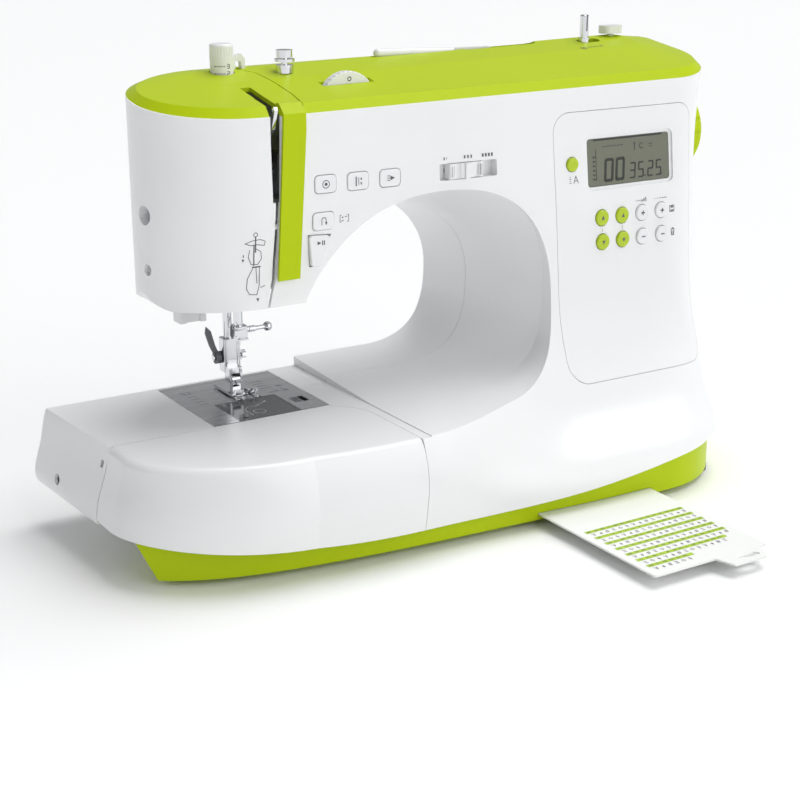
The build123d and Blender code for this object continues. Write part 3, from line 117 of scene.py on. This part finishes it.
# ---- materials ------------------------------------------------------------------------------------
class Surface:
    """A Principled material with a few procedural layers on top."""

    def __init__(self, name, colour, roughness, metallic=0.0, coat=0.0):
        self.material = bpy.data.materials.new(name)
        self.material.use_nodes = True
        self.tree = self.material.node_tree
        self.shader = self.tree.nodes["Principled BSDF"]
        self.colour = colour
        self.put("Base Color", (*colour, 1))
        self.put("Roughness", roughness)
        self.put("Metallic", metallic)
        self.put("Coat Weight", coat)
        self.put("Coat Roughness", 0.08)
        self.position = self.tree.nodes.new("ShaderNodeTexCoord").outputs["Object"]

    def put(self, socket, value):
        self.shader.inputs[socket].default_value = value

    def noise(self, scale, detail=3.0, stretch=(1, 1, 1)):
        mapping = self.tree.nodes.new("ShaderNodeMapping")
        mapping.inputs["Scale"].default_value = stretch
        self.tree.links.new(self.position, mapping.inputs["Vector"])
        noise = self.tree.nodes.new("ShaderNodeTexNoise")
        noise.inputs["Scale"].default_value = scale
        noise.inputs["Detail"].default_value = detail
        self.tree.links.new(mapping.outputs["Vector"], noise.inputs["Vector"])
        return noise.outputs["Fac"]

    def spread(self, value, low, high):
        node = self.tree.nodes.new("ShaderNodeMapRange")
        node.inputs["From Min"].default_value = 0.3
        node.inputs["From Max"].default_value = 0.7
        node.inputs["To Min"].default_value = low
        node.inputs["To Max"].default_value = high
        self.tree.links.new(value, node.inputs["Value"])
        return node.outputs["Result"]

    def tint(self, value, amount):
        """Lets the colour drift by a small share, as moulded or worn surfaces do."""
        ramp = self.tree.nodes.new("ShaderNodeValToRGB")
        ramp.color_ramp.elements[0].position = 0.3
        ramp.color_ramp.elements[1].position = 0.7
        ramp.color_ramp.elements[0].color = (*[c * (1 - amount) for c in self.colour], 1)
        ramp.color_ramp.elements[1].color = (*[min(1.0, c * (1 + amount)) for c in self.colour], 1)
        self.tree.links.new(value, ramp.inputs["Fac"])
        self.tree.links.new(ramp.outputs["Color"], self.shader.inputs["Base Color"])

    def rough(self, value, low, high):
        self.tree.links.new(self.spread(value, low, high), self.shader.inputs["Roughness"])
        return self

    def bump(self, value, distance, strength=0.3):
        node = self.tree.nodes.new("ShaderNodeBump")
        node.inputs["Distance"].default_value = distance
        node.inputs["Strength"].default_value = strength
        self.tree.links.new(value, node.inputs["Height"])
        self.tree.links.new(node.outputs["Normal"], self.shader.inputs["Normal"])
        return self


def moulded(name, colour, low=0.28, high=0.33, coat=0.12, grain=900, depth=0.00004):
    """Glossy or satin injection-moulded plastic: faint orange peel and slow tone drift."""
    surface = Surface(name, colour, low, coat=coat)
    surface.tint(surface.noise(9, 2), 0.012)
    surface.rough(surface.noise(24, 2), low, high)
    return surface.bump(surface.noise(grain, 2), depth, 0.12)


def brushed(name, colour, stretch, low=0.22, high=0.38):
    """Brushed metal: long fine scratches along one direction."""
    surface = Surface(name, colour, low, metallic=1.0)
    lines = surface.noise(700, 5, stretch)
    surface.tint(lines, 0.08)
    surface.rough(surface.noise(180, 3, stretch), low, high)
    return surface.bump(lines, 0.00003, 0.35)


def polished(name, colour, low=0.05, high=0.13):
    """Chrome plate with faint smudges."""
    surface = Surface(name, colour, low, metallic=1.0)
    surface.tint(surface.noise(120, 3), 0.03)
    return surface.rough(surface.noise(90, 4), low, high)


def rubbery(name, colour):
    surface = Surface(name, colour, 0.7)
    surface.tint(surface.noise(200, 4), 0.15)
    return surface.bump(surface.noise(1500, 2), 0.00006, 0.5)


def smoked(name, colour, alpha):
    """Tinted see-through plastic."""
    surface = Surface(name, colour, 0.08, coat=0.5)
    surface.tint(surface.noise(40, 2), 0.05)
    surface.put("Alpha", alpha)
    surface.put("IOR", 1.49)
    return surface.rough(surface.noise(80, 3), 0.05, 0.12)


def ink(name, colour):
    """Screen-printed ink, slightly uneven."""
    surface = Surface(name, colour, 0.45)
    surface.tint(surface.noise(2500, 3), 0.1)
    return surface.bump(surface.noise(3000, 2), 0.00001, 0.2)


LIME = (0.475, 0.605, 0.006)
WHITE = (0.86, 0.865, 0.87)
FINISH = {
    "white_shell": moulded("white_shell", WHITE),
    "green_shell": moulded("green_shell", LIME, 0.3, 0.36, 0.0),
    "panel_white": moulded("panel_white", (0.85, 0.855, 0.865), 0.3, 0.36),
    "white_button": moulded("white_button", (0.84, 0.85, 0.86), 0.3, 0.36),
    "green_button": moulded("green_button", (0.46, 0.60, 0.008), 0.22, 0.32),
    "plate_steel": brushed("plate_steel", (0.62, 0.63, 0.64), (0.03, 1, 1)),
    "smoked_plastic": smoked("smoked_plastic", (0.13, 0.135, 0.14), 0.72),
    "grey_plastic": moulded("grey_plastic", (0.16, 0.165, 0.175), 0.35, 0.5, 0.0, 1400, 0.00005),
    "chrome_part": polished("chrome_part", (0.72, 0.73, 0.75)),
    "black_plastic": moulded("black_plastic", (0.014, 0.014, 0.016), 0.35, 0.5, 0.0, 1400, 0.00006),
    "shaft_steel": brushed("shaft_steel", (0.5, 0.51, 0.53), (1, 0.05, 1)),
    "bobbin_clear": smoked("bobbin_clear", (0.7, 0.72, 0.75), 0.6),
    "cast_frame": moulded("cast_frame", (0.42, 0.43, 0.44), 0.5, 0.65, 0.0, 1100, 0.00015),
    "belt_rubber": rubbery("belt_rubber", (0.016, 0.016, 0.017)),
    "foot_rubber": rubbery("foot_rubber", (0.03, 0.03, 0.032)),
    "card_plastic": moulded("card_plastic", (0.90, 0.91, 0.89), 0.4, 0.5, 0.1, 1500, 0.00002),
    "display": moulded("display", (0.125, 0.132, 0.088), 0.2, 0.26, 0.2, 1500, 0.00001),
}
FINISH["cast_frame"].put("Metallic", 0.8)
FINISH["green_shell"].put("Specular IOR Level", 0.12)
INK_GREY = ink("ink_grey", (0.11, 0.11, 0.12))
INK_DARK = ink("ink_dark", (0.02, 0.022, 0.02))
INK_GREEN = ink("ink_green", (0.42, 0.62, 0.02))
LCD_INK = ink("lcd_ink", (0.018, 0.022, 0.014))
LENS_CLEAR = smoked("lens_clear", (0.9, 0.9, 0.88), 0.45)


def finish_nodes():
    for row in frame["record"]["subparts"]:
        node = NODES[row["node"]]
        material = FINISH[row["material_slot"]].material
        for index in range(max(1, len(node.material_slots))):
            if not node.material_slots:
                node.data.materials.append(material)
            node.material_slots[index].material = material


# ---- printed marks --------------------------------------------------------------------------------
# Marks are drawn in millimetres on a plane and dropped onto a node's surface. Each view names the
# two axes drawn in and the direction of the drop.
VIEWS = {"front": (0, 2, (0, 1, 0)), "top": (0, 1, (0, 0, -1))}
DROP_FROM = 0.6                 # the drop starts this far from the origin
TREES = {}


def surface_of(node):
    if node not in TREES:
        mesh = NODES[node].data
        corners = [vertex.co[:] for vertex in mesh.vertices]
        TREES[node] = BVHTree.FromPolygons(corners, [polygon.vertices[:] for polygon in mesh.polygons])
    return TREES[node]


def dropped(u, v, view, node):
    """The point where a mark's corner lands, lifted a hair off the surface."""
    first, second, ray = VIEWS[view]
    start = [0.0, 0.0, 0.0]
    start[first], start[second] = u * MM, v * MM
    axis = 3 - first - second
    start[axis] = -ray[axis] * DROP_FROM
    hit = surface_of(node).ray_cast(Vector(start), Vector(ray))[0]
    if hit is None:
        return None
    return hit - Vector(ray) * INK_LIFT


def printed(name, shapes, view, node, body, surface):
    """One mesh of flat marks; each shape is a convex outline in millimetres."""
    vertices, faces = [], []
    for shape in shapes:
        corners = [dropped(u, v, view, node) for u, v in shape]
        if None in corners:
            continue
        start = len(vertices)
        vertices += corners
        faces.append(tuple(range(start, start + len(corners))))
    mesh = bpy.data.meshes.new(name)
    mesh.from_pydata([tuple(c) for c in vertices], [], faces)
    mesh.materials.append(surface.material)
    piece = bpy.data.objects.new(name, mesh)
    bpy.context.collection.objects.link(piece)
    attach(piece, body)
    return piece


def stroke(points, width):
    """Quads along a line of points."""
    quads = []
    for (ax, ay), (bx, by) in zip(points, points[1:]):
        turn = atan2(by - ay, bx - ax)
        dx, dy = -sin(turn) * width / 2, cos(turn) * width / 2
        ex, ey = cos(turn) * width / 3, sin(turn) * width / 3
        quads.append([(ax + dx - ex, ay + dy - ey), (bx + dx + ex, by + dy + ey),
                      (bx - dx + ex, by - dy + ey), (ax - dx - ex, ay - dy - ey)])
    return quads


def arc(x, y, r, start, end, steps=12):
    return [(x + r * cos(radians(start + (end - start) * i / steps)),
             y + r * sin(radians(start + (end - start) * i / steps))) for i in range(steps + 1)]


def disc(x, y, r, steps=16):
    return [arc(x, y, r, 0, 360 * (steps - 1) / steps, steps - 1)]


def bar(x, y, width, height):
    w, h = width / 2, height / 2
    return [[(x - w, y - h), (x + w, y - h), (x + w, y + h), (x - w, y + h)]]


def arrow(x, y, size, turn):
    """Filled triangle pointing along turn, in degrees."""
    return [[(x + size * cos(radians(turn + a)), y + size * sin(radians(turn + a))) for a in (0, 130, 230)]]


SEGMENTS = {"0": "abcdef", "1": "bc", "2": "abged", "3": "abgcd", "4": "fgbc", "5": "afgcd", "6": "afgedc",
            "7": "abc", "8": "abcdefg", "9": "abcdfg"}


def digit(text, x, y, width, height, pen, slant=0.08):
    """Seven-segment digit with its lower left corner at x, y."""
    def at(u, v):
        return x + u * width + v * height * slant, y + v * height
    ends = {"a": ((0, 1), (1, 1)), "b": ((1, 1), (1, 0.5)), "c": ((1, 0.5), (1, 0)), "d": ((0, 0), (1, 0)),
            "e": ((0, 0.5), (0, 0)), "f": ((0, 1), (0, 0.5)), "g": ((0, 0.5), (1, 0.5))}
    marks = []
    for segment in SEGMENTS[text]:
        (u0, v0), (u1, v1) = ends[segment]
        cut = 0.08
        a = at(u0 + (u1 - u0) * cut, v0 + (v1 - v0) * cut)
        b = at(u1 - (u1 - u0) * cut, v1 - (v1 - v0) * cut)
        marks += stroke([a, b], pen)
    return marks


def middle(node, first=0, second=2):
    low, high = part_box(node)
    return (low[first] + high[first]) / 2 / MM, (low[second] + high[second]) / 2 / MM


def key_marks():
    pen = 0.45
    x, z = middle("button_lock")
    marks = stroke(arc(x, z, 2.3, 0, 360, 20), pen) + disc(x, z, 1.0)
    printed("icon_lock", marks, "front", "button_lock", "button_lock", INK_GREY)
    x, z = middle("button_needle")
    marks = stroke([(x - 1.6, z + 2.6), (x - 1.6, z - 2.6)], 0.8)
    marks += stroke([(x + 0.2, z + 2.2), (x + 0.2, z - 2.2)], 0.4)
    marks += arrow(x + 1.9, z + 1.5, 1.0, 90) + arrow(x + 1.9, z - 1.5, 1.0, -90)
    printed("icon_needle", marks, "front", "button_needle", "button_needle", INK_GREY)
    x, z = middle("button_slow")
    marks = stroke([(x - 2.2, z + 1.4), (x - 0.4, z + 1.4)], pen) + stroke([(x - 2.2, z), (x - 0.4, z)], pen)
    marks += stroke([(x - 2.2, z - 1.4), (x - 0.4, z - 1.4)], pen) + arrow(x + 1.2, z, 1.9, 0)
    printed("icon_slow", marks, "front", "button_slow", "button_slow", INK_GREY)
    x, z = middle("button_reverse")
    turn = [(x - 1.5, z - 2.0), (x - 1.5, z + 0.8)] + arc(x, z + 0.8, 1.5, 180, 0, 8) + [(x + 1.5, z - 0.6)]
    printed("icon_reverse", stroke(turn, pen) + arrow(x + 1.5, z - 1.3, 1.2, -90), "front", "button_reverse",
            "button_reverse", INK_GREY)
    frame_marks = []
    for side in (-1, 1):
        cx = x + 14.6 + side * 2.1
        outer_x = cx + side * 0.9
        frame_marks += stroke([(cx, z + 2.3), (outer_x, z + 2.3), (outer_x, z - 1.9), (cx, z - 1.9)], 0.4)
    frame_marks += arrow(x + 13.4, z + 0.9, 0.8, 90) + bar(x + 13.4, z - 1.2, 1.5, 0.5)
    frame_marks += stroke([(x + 15.2, z + 1.2), (x + 16.3, z + 1.2)], 0.5)
    printed("icon_beside_reverse", frame_marks, "front", "front_cover", "machine", INK_GREY)
    low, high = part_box("button_start")
    x, z = (low[0] + high[0]) / 2 / MM + 0.4, high[2] / MM - 6.4
    marks = arrow(x - 1.8, z, 1.6, 0) + bar(x + 0.6, z, 0.7, 2.8) + bar(x + 1.9, z, 0.7, 2.8)
    printed("icon_start", marks, "front", "button_start", "button_start", INK_GREY)


def speed_marks():
    low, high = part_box("speed_slider")
    x0, x1, z = low[0] / MM - 3.5, high[0] / MM + 7.0, high[2] / MM + 3.6
    marks = bar(x0 + 0.5, z, 0.9, 1.7) + stroke([(x0 + 2, z - 0.5), (x0 + 2.6, z + 0.7)], 0.35)
    for step in range(3):
        marks += bar((x0 + x1) / 2 - 2.4 + 2.4 * step, z, 1.1, 1.9)
    for step in range(4):
        marks += bar(x1 - 7.0 + 2.3 * step, z, 1.4, 2.1)
    printed("speed_marks", marks, "front", "front_cover", "machine", INK_GREY)
    nub_x, nub_z = middle("speed_slider")
    grip = []
    for side in (-1, 1):
        for line in range(3):
            line_x = nub_x + side * (9.0 + 1.1 * line)
            grip += stroke([(line_x, nub_z - 3.4), (line_x, nub_z + 3.4)], 0.25)
    printed("slider_grip_lines", grip, "front", "speed_slider", "speed_slider", INK_GREY)


def panel_marks():
    pen = 0.8
    for column in ("length", "width"):
        for way, turn in (("up", 90), ("down", -90)):
            name = "button_" + column + "_" + way
            x, z = middle(name)
            printed("icon_" + column + "_" + way, arrow(x, z, 1.7, turn), "front", name, name, INK_GREY)
    for side in ("left", "right"):
        name = "button_plus_" + side
        x, z = middle(name)
        marks = bar(x, z, 3.2, pen) + bar(x, z, pen, 3.2)
        printed("icon_plus_" + side, marks, "front", name, name, INK_GREY)
        name = "button_minus_" + side
        x, z = middle(name)
        printed("icon_minus_" + side, bar(x, z, 3.2, pen), "front", name, name, INK_GREY)
    marks = []
    x, z = middle("button_plus_left")
    for step in range(5):
        marks += stroke([(x - 5.0 + 1.1 * step, z + 8.2), (x - 4.4 + 1.1 * step, z + 8.2)], 0.35)
    for step, height in enumerate((1.2, 2.0, 2.8)):
        px = x + 0.6 + 1.5 * step
        marks += stroke([(px - 0.7, z + 7.4), (px, z + 7.4 + height), (px + 0.7, z + 7.4)], 0.35)
    x, z = middle("button_plus_right")
    for step, length in enumerate((0.5, 0.8, 1.2, 1.7, 2.4)):
        px = x - 5.6 + 2.1 * step
        marks += stroke([(px, z + 8.2), (px + length, z + 8.2)], 0.4)
    save_x = x + 10.0
    marks += stroke([(save_x - 2, z - 2), (save_x - 2, z + 2), (save_x + 2, z + 2), (save_x + 2, z - 2),
                     (save_x - 2, z - 2)], 0.5)
    marks += bar(save_x, z + 1.1, 2.2, 1.3) + bar(save_x, z - 1.2, 2.6, 0.8)
    x, z = middle("button_minus_right")
    bin_x = x + 10.4
    marks += stroke([(bin_x - 1.4, z + 1.4), (bin_x - 1.1, z - 2.2), (bin_x + 1.1, z - 2.2),
                     (bin_x + 1.4, z + 1.4)], 0.5)
    marks += bar(bin_x, z + 1.9, 3.6, 0.6) + bar(bin_x, z + 2.6, 1.4, 0.5)
    marks += bar(bin_x - 0.6, z - 0.5, 0.4, 2.6) + bar(bin_x + 0.6, z - 0.5, 0.4, 2.6)
    x, z = middle("button_mode")
    for row in range(4):
        marks += bar(x - 2.0, z - 8.0 - 1.3 * row, 1.6 if row % 2 else 0.9, 0.4)
    marks += stroke([(x + 0.8, z - 12.2), (x + 2.6, z - 7.6), (x + 4.4, z - 12.2)], 0.5)
    marks += bar(x + 2.6, z - 10.7, 2.0, 0.4)
    x, z = middle("button_length_up")
    x2, z2 = middle("button_width_down")
    marks += bar(x, (z + z2) / 2, 0.25, 2.4) + bar(x2, (z + z2) / 2, 0.25, 2.4)
    printed("panel_icons", marks, "front", "control_panel", "machine", INK_GREY)


def display_marks():
    low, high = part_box("lcd_display")
    x0, x1 = low[0] / MM + 5.5, high[0] / MM - 5.5
    z0, z1 = low[2] / MM + 5.5, high[2] / MM - 5.5
    marks = digit("0", x0 + 12, z0 + 1.5, 6.0, 13.5, 1.9) + digit("0", x0 + 21.5, z0 + 1.5, 6.0, 13.5, 1.9)
    for index, text in enumerate("35"):
        marks += digit(text, x0 + 33.5 + 7.2 * index, z0 + 1.5, 4.0, 9.6, 1.0)
    for index, text in enumerate("25"):
        marks += digit(text, x0 + 49.0 + 7.2 * index, z0 + 1.5, 4.0, 9.6, 1.0)
    marks += bar(x0 + 46.4, z0 + 2.0, 1.0, 1.0) + bar(x0 + 60.9, z0 + 2.0, 1.0, 1.0)
    for step in range(6):
        marks += bar(x0 + 3.0, z0 + 3.0 + 2.9 * step, 2.0, 0.9)
    marks += stroke([(x0 + 4.8, z0 + 2), (x0 + 4.8, z1 - 4)], 0.35)
    for step in range(7):
        marks += bar(x0 + 11.5 + 2.6 * step, z1 - 2.4, 1.6, 0.55)
    marks += stroke([(x0 + 38, z1 - 3), (x0 + 38, z1 - 6.4)], 0.5) + arrow(x0 + 38, z1 - 2.0, 1.0, 90)
    marks += stroke(arc(x0 + 44, z1 - 4.2, 1.7, 40, 320, 10), 0.45) + bar(x0 + 52, z1 - 3.4, 3.4, 0.5)
    marks += bar(x0 + 52, z1 - 5.2, 2.2, 0.5)
    printed("display_digits", marks, "front", "lcd_display", "machine", LCD_INK)
    edge = []
    inset, steps = 0.6, 12
    u0, u1 = x0 - 3 + inset, x1 + 3 - inset
    for v in (z1 + 2.2, z0 - 2.2):
        edge += stroke([(u0 + (u1 - u0) * i / steps, v) for i in range(steps + 1)], 1.0)
    printed("display_mask", edge, "front", "lcd_display", "machine", INK_DARK)


def threading_marks():
    """Generic line drawing of the thread path beside the slot."""
    x, z, pen = -133.0, 176.0, 0.42
    marks = stroke(arc(x, z + 15.5, 1.2, 0, 360, 12), pen) + stroke([(x, z + 14.3), (x, z + 5)], 0.8)
    marks += stroke([(x - 6.5, z + 10.5), (x - 2, z + 12), (x + 3, z + 12.4), (x + 6.2, z + 11.0),
                     (x + 5.5, z + 8.6), (x + 1, z + 9.4), (x - 3, z + 9.2), (x - 6.5, z + 10.5)], pen)
    marks += stroke([(x - 1, z + 9), (x - 1, z - 3)], 0.7)
    marks += stroke([(x - 3.6, z + 6.4), (x - 4.4, z + 2), (x - 2.6, z - 2.4), (x + 1.6, z - 2.6),
                     (x + 3.8, z + 0.6), (x + 3.4, z + 5.0), (x + 0.6, z + 6.8)], pen)
    marks += stroke([(x - 1.6, z - 5), (x - 5.0, z - 11), (x - 5.8, z - 17), (x - 4.0, z - 20.5),
                     (x + 0.4, z - 21), (x + 2.2, z - 16), (x + 2.6, z - 5)], pen)
    marks += stroke([(x + 0.4, z - 5), (x + 0.9, z - 14)], pen) + bar(x + 0.6, z - 4.2, 5.4, 0.9)
    marks += arrow(x + 0.8, z - 24, 1.3, -90) + arrow(x - 7.6, z + 0.4, 1.1, -90)
    marks += bar(x - 7.4, z + 3.0, 0.6, 1.6)
    marks += stroke([(x + 3.0, z - 17.0), (x + 5.8, z - 16.0)], pen)
    printed("threading_diagram", marks, "front", "face_cover", "machine", INK_GREY)


def dial_marks():
    px, high = middle("pressure_dial")[0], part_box("pressure_dial")[1]
    top_z = high[2] / MM
    marks = []
    for drop, text in ((13.2, "3"), (17.6, "2")):
        for dash in range(5):
            marks += bar(px - 6.2 + 1.15 * dash, top_z - drop, 0.8, 0.5)
        marks += digit(text, px + 0.1, top_z - drop - 1.2, 1.6, 2.4, 0.42, 0)
    printed("pressure_scale", marks, "front", "pressure_dial", "pressure_dial", INK_GREY)
    cx = middle("tension_dial")[0]
    top_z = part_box("tension_dial")[1][2] / MM
    marks = stroke(arc(cx + 0.4, top_z - 4.6, 1.15, 0, 360, 16), 0.55)
    printed("tension_mark", marks, "front", "tension_dial", "tension_dial", INK_GREY)
    sx, sy = middle("winder_spindle", 0, 1)
    marks = stroke([(sx - 9, sy - 16), (sx + 2, sy - 15)], 0.5) + arrow(sx + 4, sy - 14.8, 1.4, 5)
    marks += stroke(arc(sx - 13, sy - 16.5, 2.2, 0, 360, 14), 0.5) + disc(sx - 13, sy - 16.5, 0.7)
    printed("winder_arrow", marks, "top", "top_cover", "machine", INK_GREY)


def plate_marks():
    low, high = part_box("needle_plate")
    left, right = low[0] / MM, high[0] / MM
    first_y = 104.5
    marks = []
    for index in range(6):
        y = first_y + 5.0 * index
        marks += stroke([(right - 21, y), (right - 14, y)], 0.3)
    for index, text in enumerate("1015"):
        x, y = right - 11.5 + 2.6 * (index % 2), first_y - 1.5 + 10.0 * (index // 2)
        marks += digit(text, x, y, 1.5, 2.4, 0.28, 0)
    for index in range(5):
        y = first_y + 6.0 * index
        marks += stroke([(left + 10, y), (left + 16, y)], 0.25)
    printed("plate_scale", marks, "top", "needle_plate", "machine", INK_DARK)
    x, y = middle("bobbin_cover", 0, 1)
    path = [(x - 9, y - 12), (x - 9, y - 2)] + arc(x - 3, y - 2, 6, 180, 60, 8) + [(x + 8, y + 8)]
    marks = stroke(path, 0.4) + arrow(x + 9.5, y + 9.2, 1.4, 45)
    marks += stroke(arc(x - 2, y - 7, 4.0, 0, 360, 18), 0.35)
    printed("bobbin_diagram", marks, "top", "bobbin_cover", "bobbin_cover", FINISH["card_plastic"])


def card_marks():
    low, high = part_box("reference_card")
    x0, x1 = low[0] / MM + 5, high[0] / MM - 5
    front = low[1] / MM + 17
    greens, greys = [], []
    rows, pitch, cell_width = 7, 9.6, 5.2
    for row in range(rows):
        y = front + 4 + pitch * row
        end = x1 if row else x0 + 0.45 * (x1 - x0)
        if row == 1:
            end = x0 + 0.9 * (x1 - x0)
        cells = int((end - x0) / cell_width)
        greens += bar((x0 + end) / 2, y + 4.7, end - x0, 3.3)
        for cell in range(cells):
            x = x0 + 3.0 + cell_width * cell
            kind = (cell * 5 + row * 3) % 6
            if kind == 0:
                greys += stroke([(x - 1, y + 1.6), (x, y - 1.6), (x + 1, y + 1.6)], 0.35)
            elif kind == 1:
                greys += stroke([(x, y + 1.8), (x, y - 1.8)], 0.45) + stroke([(x - 1, y), (x + 1, y)], 0.35)
            elif kind == 2:
                greys += stroke(arc(x, y, 1.1, 0, 360, 8), 0.35)
            elif kind == 3:
                greys += bar(x, y + 1.2, 2.2, 0.4) + bar(x, y, 1.4, 0.4) + bar(x, y - 1.2, 2.2, 0.4)
            elif kind == 4:
                greys += stroke([(x - 1.1, y - 1.5), (x - 0.4, y + 1.5), (x + 0.4, y - 1.5),
                                 (x + 1.1, y + 1.5)], 0.35)
            else:
                greys += arrow(x, y, 1.2, 90) + bar(x, y - 1.3, 0.5, 1.2)
            tens, ones = divmod((row * 14 + cell) % 100, 10)
            greys += digit(str(tens), x - 1.3, y + 4.0, 0.9, 1.5, 0.22, 0)
            greys += digit(str(ones), x + 0.3, y + 4.0, 0.9, 1.5, 0.22, 0)
    printed("card_bars", greens, "top", "reference_card", "reference_card", INK_GREEN)
    piece = printed("card_stitches", greys, "top", "reference_card", "reference_card", INK_GREY)
    for vertex in piece.data.vertices:
        vertex.co.z += INK_LIFT


# ---- small solid details --------------------------------------------------------------------------
def solid_curve(name, points, radius, body, surface):
    """Round wire through points given in metres."""
    curve = bpy.data.curves.new(name, "CURVE")
    curve.dimensions = "3D"
    curve.bevel_depth = radius
    curve.bevel_resolution = 3
    spline = curve.splines.new("NURBS")
    spline.points.add(len(points) - 1)
    for target, point in zip(spline.points, points):
        target.co = (*point, 1)
    spline.order_u = 3
    spline.use_endpoint_u = True
    curve.use_fill_caps = True
    curve.materials.append(surface.material)
    piece = bpy.data.objects.new(name, curve)
    bpy.context.collection.objects.link(piece)
    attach(piece, body)


def turned(name, profile, centre, axis, body, surface, steps=40):
    """Lathe-turned solid: profile is (distance along the axis, radius) in millimetres."""
    side = Vector(axis).orthogonal().normalized()
    other = Vector(axis).cross(side)
    vertices, faces = [], []
    for along, radius in profile:
        for step in range(steps):
            angle = 2 * pi * step / steps
            vertices.append(Vector(centre) + Vector(axis) * along * MM
                            + (side * cos(angle) + other * sin(angle)) * radius * MM)
    for ring in range(len(profile) - 1):
        for step in range(steps):
            a, b = ring * steps + step, ring * steps + (step + 1) % steps
            faces.append((a, b, b + steps, a + steps))
    faces.append(tuple(reversed(range(steps))))
    faces.append(tuple(range((len(profile) - 1) * steps, len(profile) * steps)))
    mesh = bpy.data.meshes.new(name)
    mesh.from_pydata([v[:] for v in vertices], [], faces)
    mesh.materials.append(surface.material)
    for polygon in mesh.polygons[:-2]:
        polygon.use_smooth = True
    piece = bpy.data.objects.new(name, mesh)
    bpy.context.collection.objects.link(piece)
    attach(piece, body)


def hardware_details():
    low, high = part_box("needle_bar")
    x, y = (low[0] + high[0]) / 2, (low[1] + high[1]) / 2
    z = low[2]
    guide = [(x - 0.0046, y - 0.003, z + 0.002), (x - 0.0066, y - 0.004, z + 0.0005),
             (x - 0.0062, y - 0.0075, z - 0.001), (x - 0.001, y - 0.0085, z - 0.0012),
             (x + 0.004, y - 0.0070, z - 0.0005)]
    solid_curve("needle_thread_guide", guide, 0.00045, "needle_unit", FINISH["chrome_part"])
    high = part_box("foot_holder")[1]
    screw_at = (high[0] - 0.0001, HOLDER_SCREW_Y, HOLDER_SCREW_Z)
    turned("holder_screw_face", [(0, 2.9), (0.25, 2.9), (0.45, 2.4)], screw_at, (1, 0, 0),
           "presser_unit", FINISH["chrome_part"])
    turned("needle_lamp", [(0, 6.0), (1.2, 6.0), (2.6, 5.2), (3.4, 3.6), (3.8, 1.2)], LAMP_AT, (0, 0, -1),
           "machine", LENS_CLEAR)


make_camera()
make_studio()
make_floor()
finish_nodes()
key_marks()
speed_marks()
panel_marks()
display_marks()
threading_marks()
dial_marks()
plate_marks()
card_marks()
hardware_details()

bpy.context.view_layer.update()
